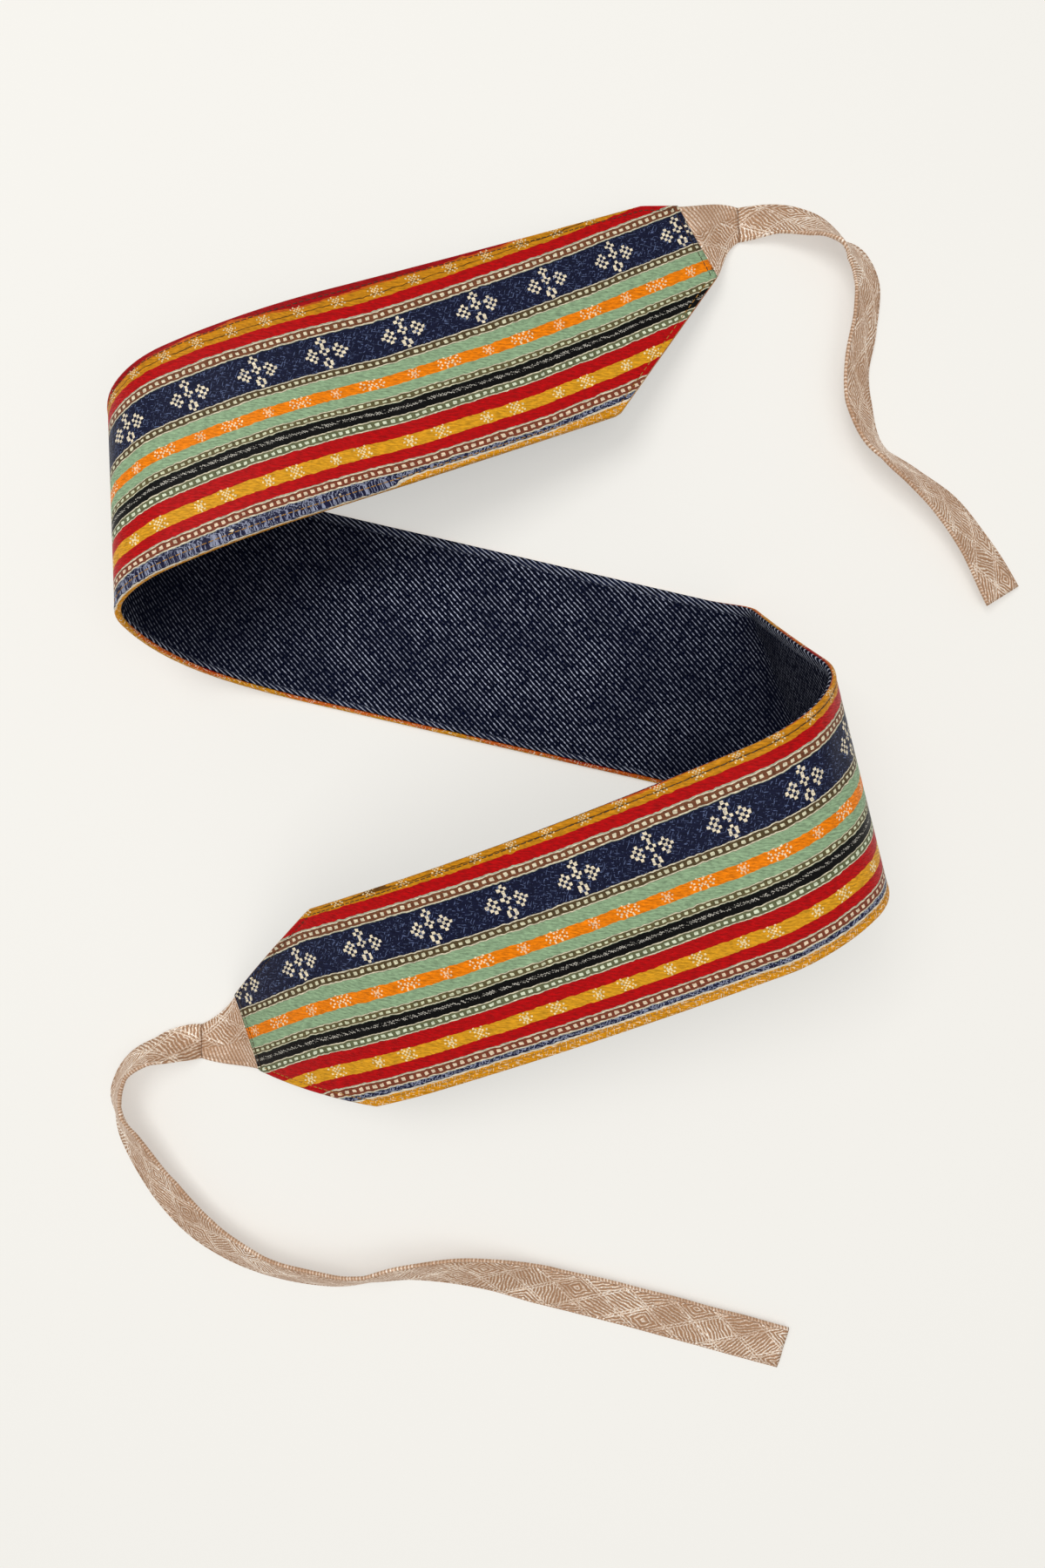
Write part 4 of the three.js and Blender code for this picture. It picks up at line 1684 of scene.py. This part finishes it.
@dataclass(frozen=True)
class Stitch:
    """One stitch, modelled once along X and copied along each seam."""

    length: float = 2.3
    thick: float = 0.5

    def shape(self) -> tuple[np.ndarray, list[list[int]]]:
        """Models the stitch and takes its mesh.

        Returns:
            Its points in millimetres and its faces.
        """
        bpy.ops.object.select_all(action="DESELECT")
        bpy.ops.mesh.primitive_cylinder_add(
            vertices=6,
            radius=self.thick / 2,
            depth=self.length,
            end_fill_type="NGON",
            rotation=(0, math.pi / 2, 0),
        )
        bpy.ops.object.transform_apply(location=True, rotation=True, scale=True)
        bpy.ops.object.mode_set(mode="EDIT")
        bpy.ops.mesh.select_all(action="SELECT")
        bpy.ops.mesh.bevel(offset=self.thick * 0.22, segments=1)
        bpy.ops.object.mode_set(mode="OBJECT")
        stitch = bpy.context.active_object
        points = np.array([vertex.co for vertex in stitch.data.vertices])
        faces = [list(polygon.vertices) for polygon in stitch.data.polygons]
        bpy.data.objects.remove(stitch)
        return points, faces

    def row(
        self, name: str, starts: np.ndarray, ahead: np.ndarray, out: np.ndarray, material: bpy.types.Material
    ) -> bpy.types.Object:
        """Copies the stitch along a seam as one piece.

        Args:
            name: Name of the row of stitches.
            starts: Each stitch's middle, in millimetres in the part's frame.
            ahead: Each stitch's direction.
            out: The way out of the cloth at each.
            material: The thread's material.

        Returns:
            The row.
        """
        shape, faces = self.shape()
        ahead = ahead / np.linalg.norm(ahead, axis=1)[:, None]
        side = np.cross(out, ahead)
        side /= np.linalg.norm(side, axis=1)[:, None]
        up = np.cross(ahead, side)
        points = (
            starts[:, None, :]
            + ahead[:, None, :] * shape[None, :, 0, None]
            + side[:, None, :] * shape[None, :, 1, None]
            + up[:, None, :] * shape[None, :, 2, None]
        )
        all_faces = [
            [corner + i * len(shape) for corner in face] for i in range(len(starts)) for face in faces
        ]
        mesh = bpy.data.meshes.new(name)
        mesh.from_pydata((points.reshape(-1, 3) * MM).tolist(), [], all_faces)
        mesh.polygons.foreach_set("use_smooth", np.ones(len(mesh.polygons), bool))
        mesh.materials.append(material)
        row = bpy.data.objects.new(name, mesh)
        bpy.context.scene.collection.objects.link(row)
        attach(row, BODY)
        log.info("%s: %d stitches", name, len(starts))
        return row


@dataclass(frozen=True)
class EdgeSeam:
    """A row of topstitches that follows one edge of the belt."""

    name: str
    side: int
    inset: float
    depth: float
    slot: str
    pitch: float = 3.1
    end_gap: float = 5.0
    half_step: float = 0.6

    def sew(self, belt: LaidBelt, stitch: Stitch, material: bpy.types.Material) -> bpy.types.Object:
        """Sews the row.

        Args:
            belt: The laid belt.
            stitch: The stitch that is copied.
            material: The thread's material.

        Returns:
            The row of stitches.
        """
        last = -belt.left.end + self.end_gap
        first = belt.right.end - self.end_gap
        along = np.arange(last, first, self.pitch)
        ends = []
        for shift in (-self.half_step, self.half_step):
            at = along + shift
            across = belt.reach(at, self.side) - self.side * self.inset
            ends.append(belt.placed(at, across, np.full(len(at), self.depth)) - CENTRE)
        across = belt.reach(along, self.side) - self.side * self.inset
        outwards = np.full(len(along), self.depth + math.copysign(1, self.depth))
        above = belt.placed(along, across, outwards) - CENTRE
        middle = (ends[0] + ends[1]) / 2
        row = stitch.row(self.name, middle, ends[1] - ends[0], above - middle, material)
        return row


@dataclass(frozen=True)
class EndSeam:
    """The stitches across the belt just inside one blunt end."""

    name: str
    way: int
    inset: float = 3.0
    pitch: float = 2.9

    def sew(self, belt: LaidBelt, stitch: Stitch, material: bpy.types.Material) -> bpy.types.Object:
        """Sews the row.

        Args:
            belt: The laid belt.
            stitch: The stitch that is copied.
            material: The thread's material.

        Returns:
            The row of stitches.
        """
        roll = belt.right if self.way > 0 else belt.left
        across = np.arange(roll.tip.lower_corner + 3, roll.tip.upper_corner - 2, self.pitch)
        span = roll.tip.upper_corner - roll.tip.lower_corner
        lean = roll.tip.lean * (roll.tip.upper_corner - across) / span
        along = self.way * (roll.end + lean - self.inset)
        depth = np.full(len(across), FRONT_FACE - 0.05)
        middle = belt.placed(along, across, depth) - CENTRE
        ahead = belt.placed(along, across + 0.6, depth) - CENTRE - middle
        out = belt.placed(along, across, depth - 1) - CENTRE - middle
        return stitch.row(self.name, middle, ahead, out, material)


def sew_tie(tie: Tie, stitch: Stitch, material: bpy.types.Material) -> list[bpy.types.Object]:
    """Sews both long edges of a tie, on its upper face.

    Args:
        tie: The tie.
        stitch: The stitch that is copied.
        material: The thread's material.

    Returns:
        The two rows.
    """
    course = TieCourse(tie.rows)
    distances = np.arange(3.0, course.length - 2, 2.7)
    rows = []
    for edge, share in (("left", STITCH_SHARE), ("right", -STITCH_SHARE)):
        middle = tie.surface(course, distances, share)
        ahead = tie.surface(course, distances + 0.5, share) - middle
        out = course.frames(distances)["up"]
        row = stitch.row(f"{tie.name}_stitches_{edge}", middle + out * 0.02, ahead, out, material)
        rows.append(row)
    return rows


def main() -> None:
    """Builds the belt piece by piece and reports each."""
    logging.basicConfig(level=logging.INFO, format="%(name)s: %(message)s")
    Studio().build()
    table = Backdrop().build()
    belt = LaidBelt()
    brocade = Brocade().material()
    denim = Denim().material()
    jacquard = Jacquard().material()
    stitch = Stitch()

    front = Panel("front_cloth", "front_panel", "brocade", front_section(), 100, 0.1096)
    lining = Panel("lining_cloth", "lining_panel", "denim", lining_section(), 97.5, 0.107)
    for panel, material in ((front, brocade), (lining, denim)):
        piece = panel.build(belt)
        dress(piece, panel.node, material)

    upper_tab = Tab("upper_tab", "tab_upper", UPPER_TIE)
    lower_tab = Tab("lower_tab", "tab_lower", LOWER_TIE)
    for tab, way in ((upper_tab, -1), (lower_tab, 1)):
        piece = tab.build(belt, way)
        dress(piece, tab.node, jacquard)

    rose_thread = Thread("rose", "#9A7D68").material()
    fine_stitch = Stitch(1.7, 0.35)
    upper_tie = Tie("upper_tie", "tie_upper", UPPER_TIE, 272, 0.5)
    lower_tie = Tie("lower_tie", "tie_lower", LOWER_TIE, 456, 0.6)
    for tie in (upper_tie, lower_tie):
        piece = tie.build()
        dress(piece, tie.node, jacquard)
        sew_tie(tie, fine_stitch, rose_thread)

    brown_thread = Thread("brown", "#4A3212").material()
    gold_thread = Thread("gold", "#B9842A").material()
    indigo_thread = Thread("indigo", "#1A2440").material()
    for seam, thread in (
        (EdgeSeam("upper_edge_stitches", 1, 2.7, FRONT_FACE + 0.25, "brocade"), brown_thread),
        (EdgeSeam("lower_edge_stitches", -1, 3.5, FRONT_FACE + 0.15, "brocade"), gold_thread),
        (EdgeSeam("upper_lining_stitches", 1, 5.0, LINING_FACE - 0.25, "denim"), indigo_thread),
        (EdgeSeam("lower_lining_stitches", -1, 5.0, LINING_FACE - 0.25, "denim"), indigo_thread),
        (EndSeam("upper_end_stitches", -1), brown_thread),
        (EndSeam("lower_end_stitches", 1), brown_thread),
    ):
        seam.sew(belt, stitch, thread)


if __name__ == "__main__":
    main()
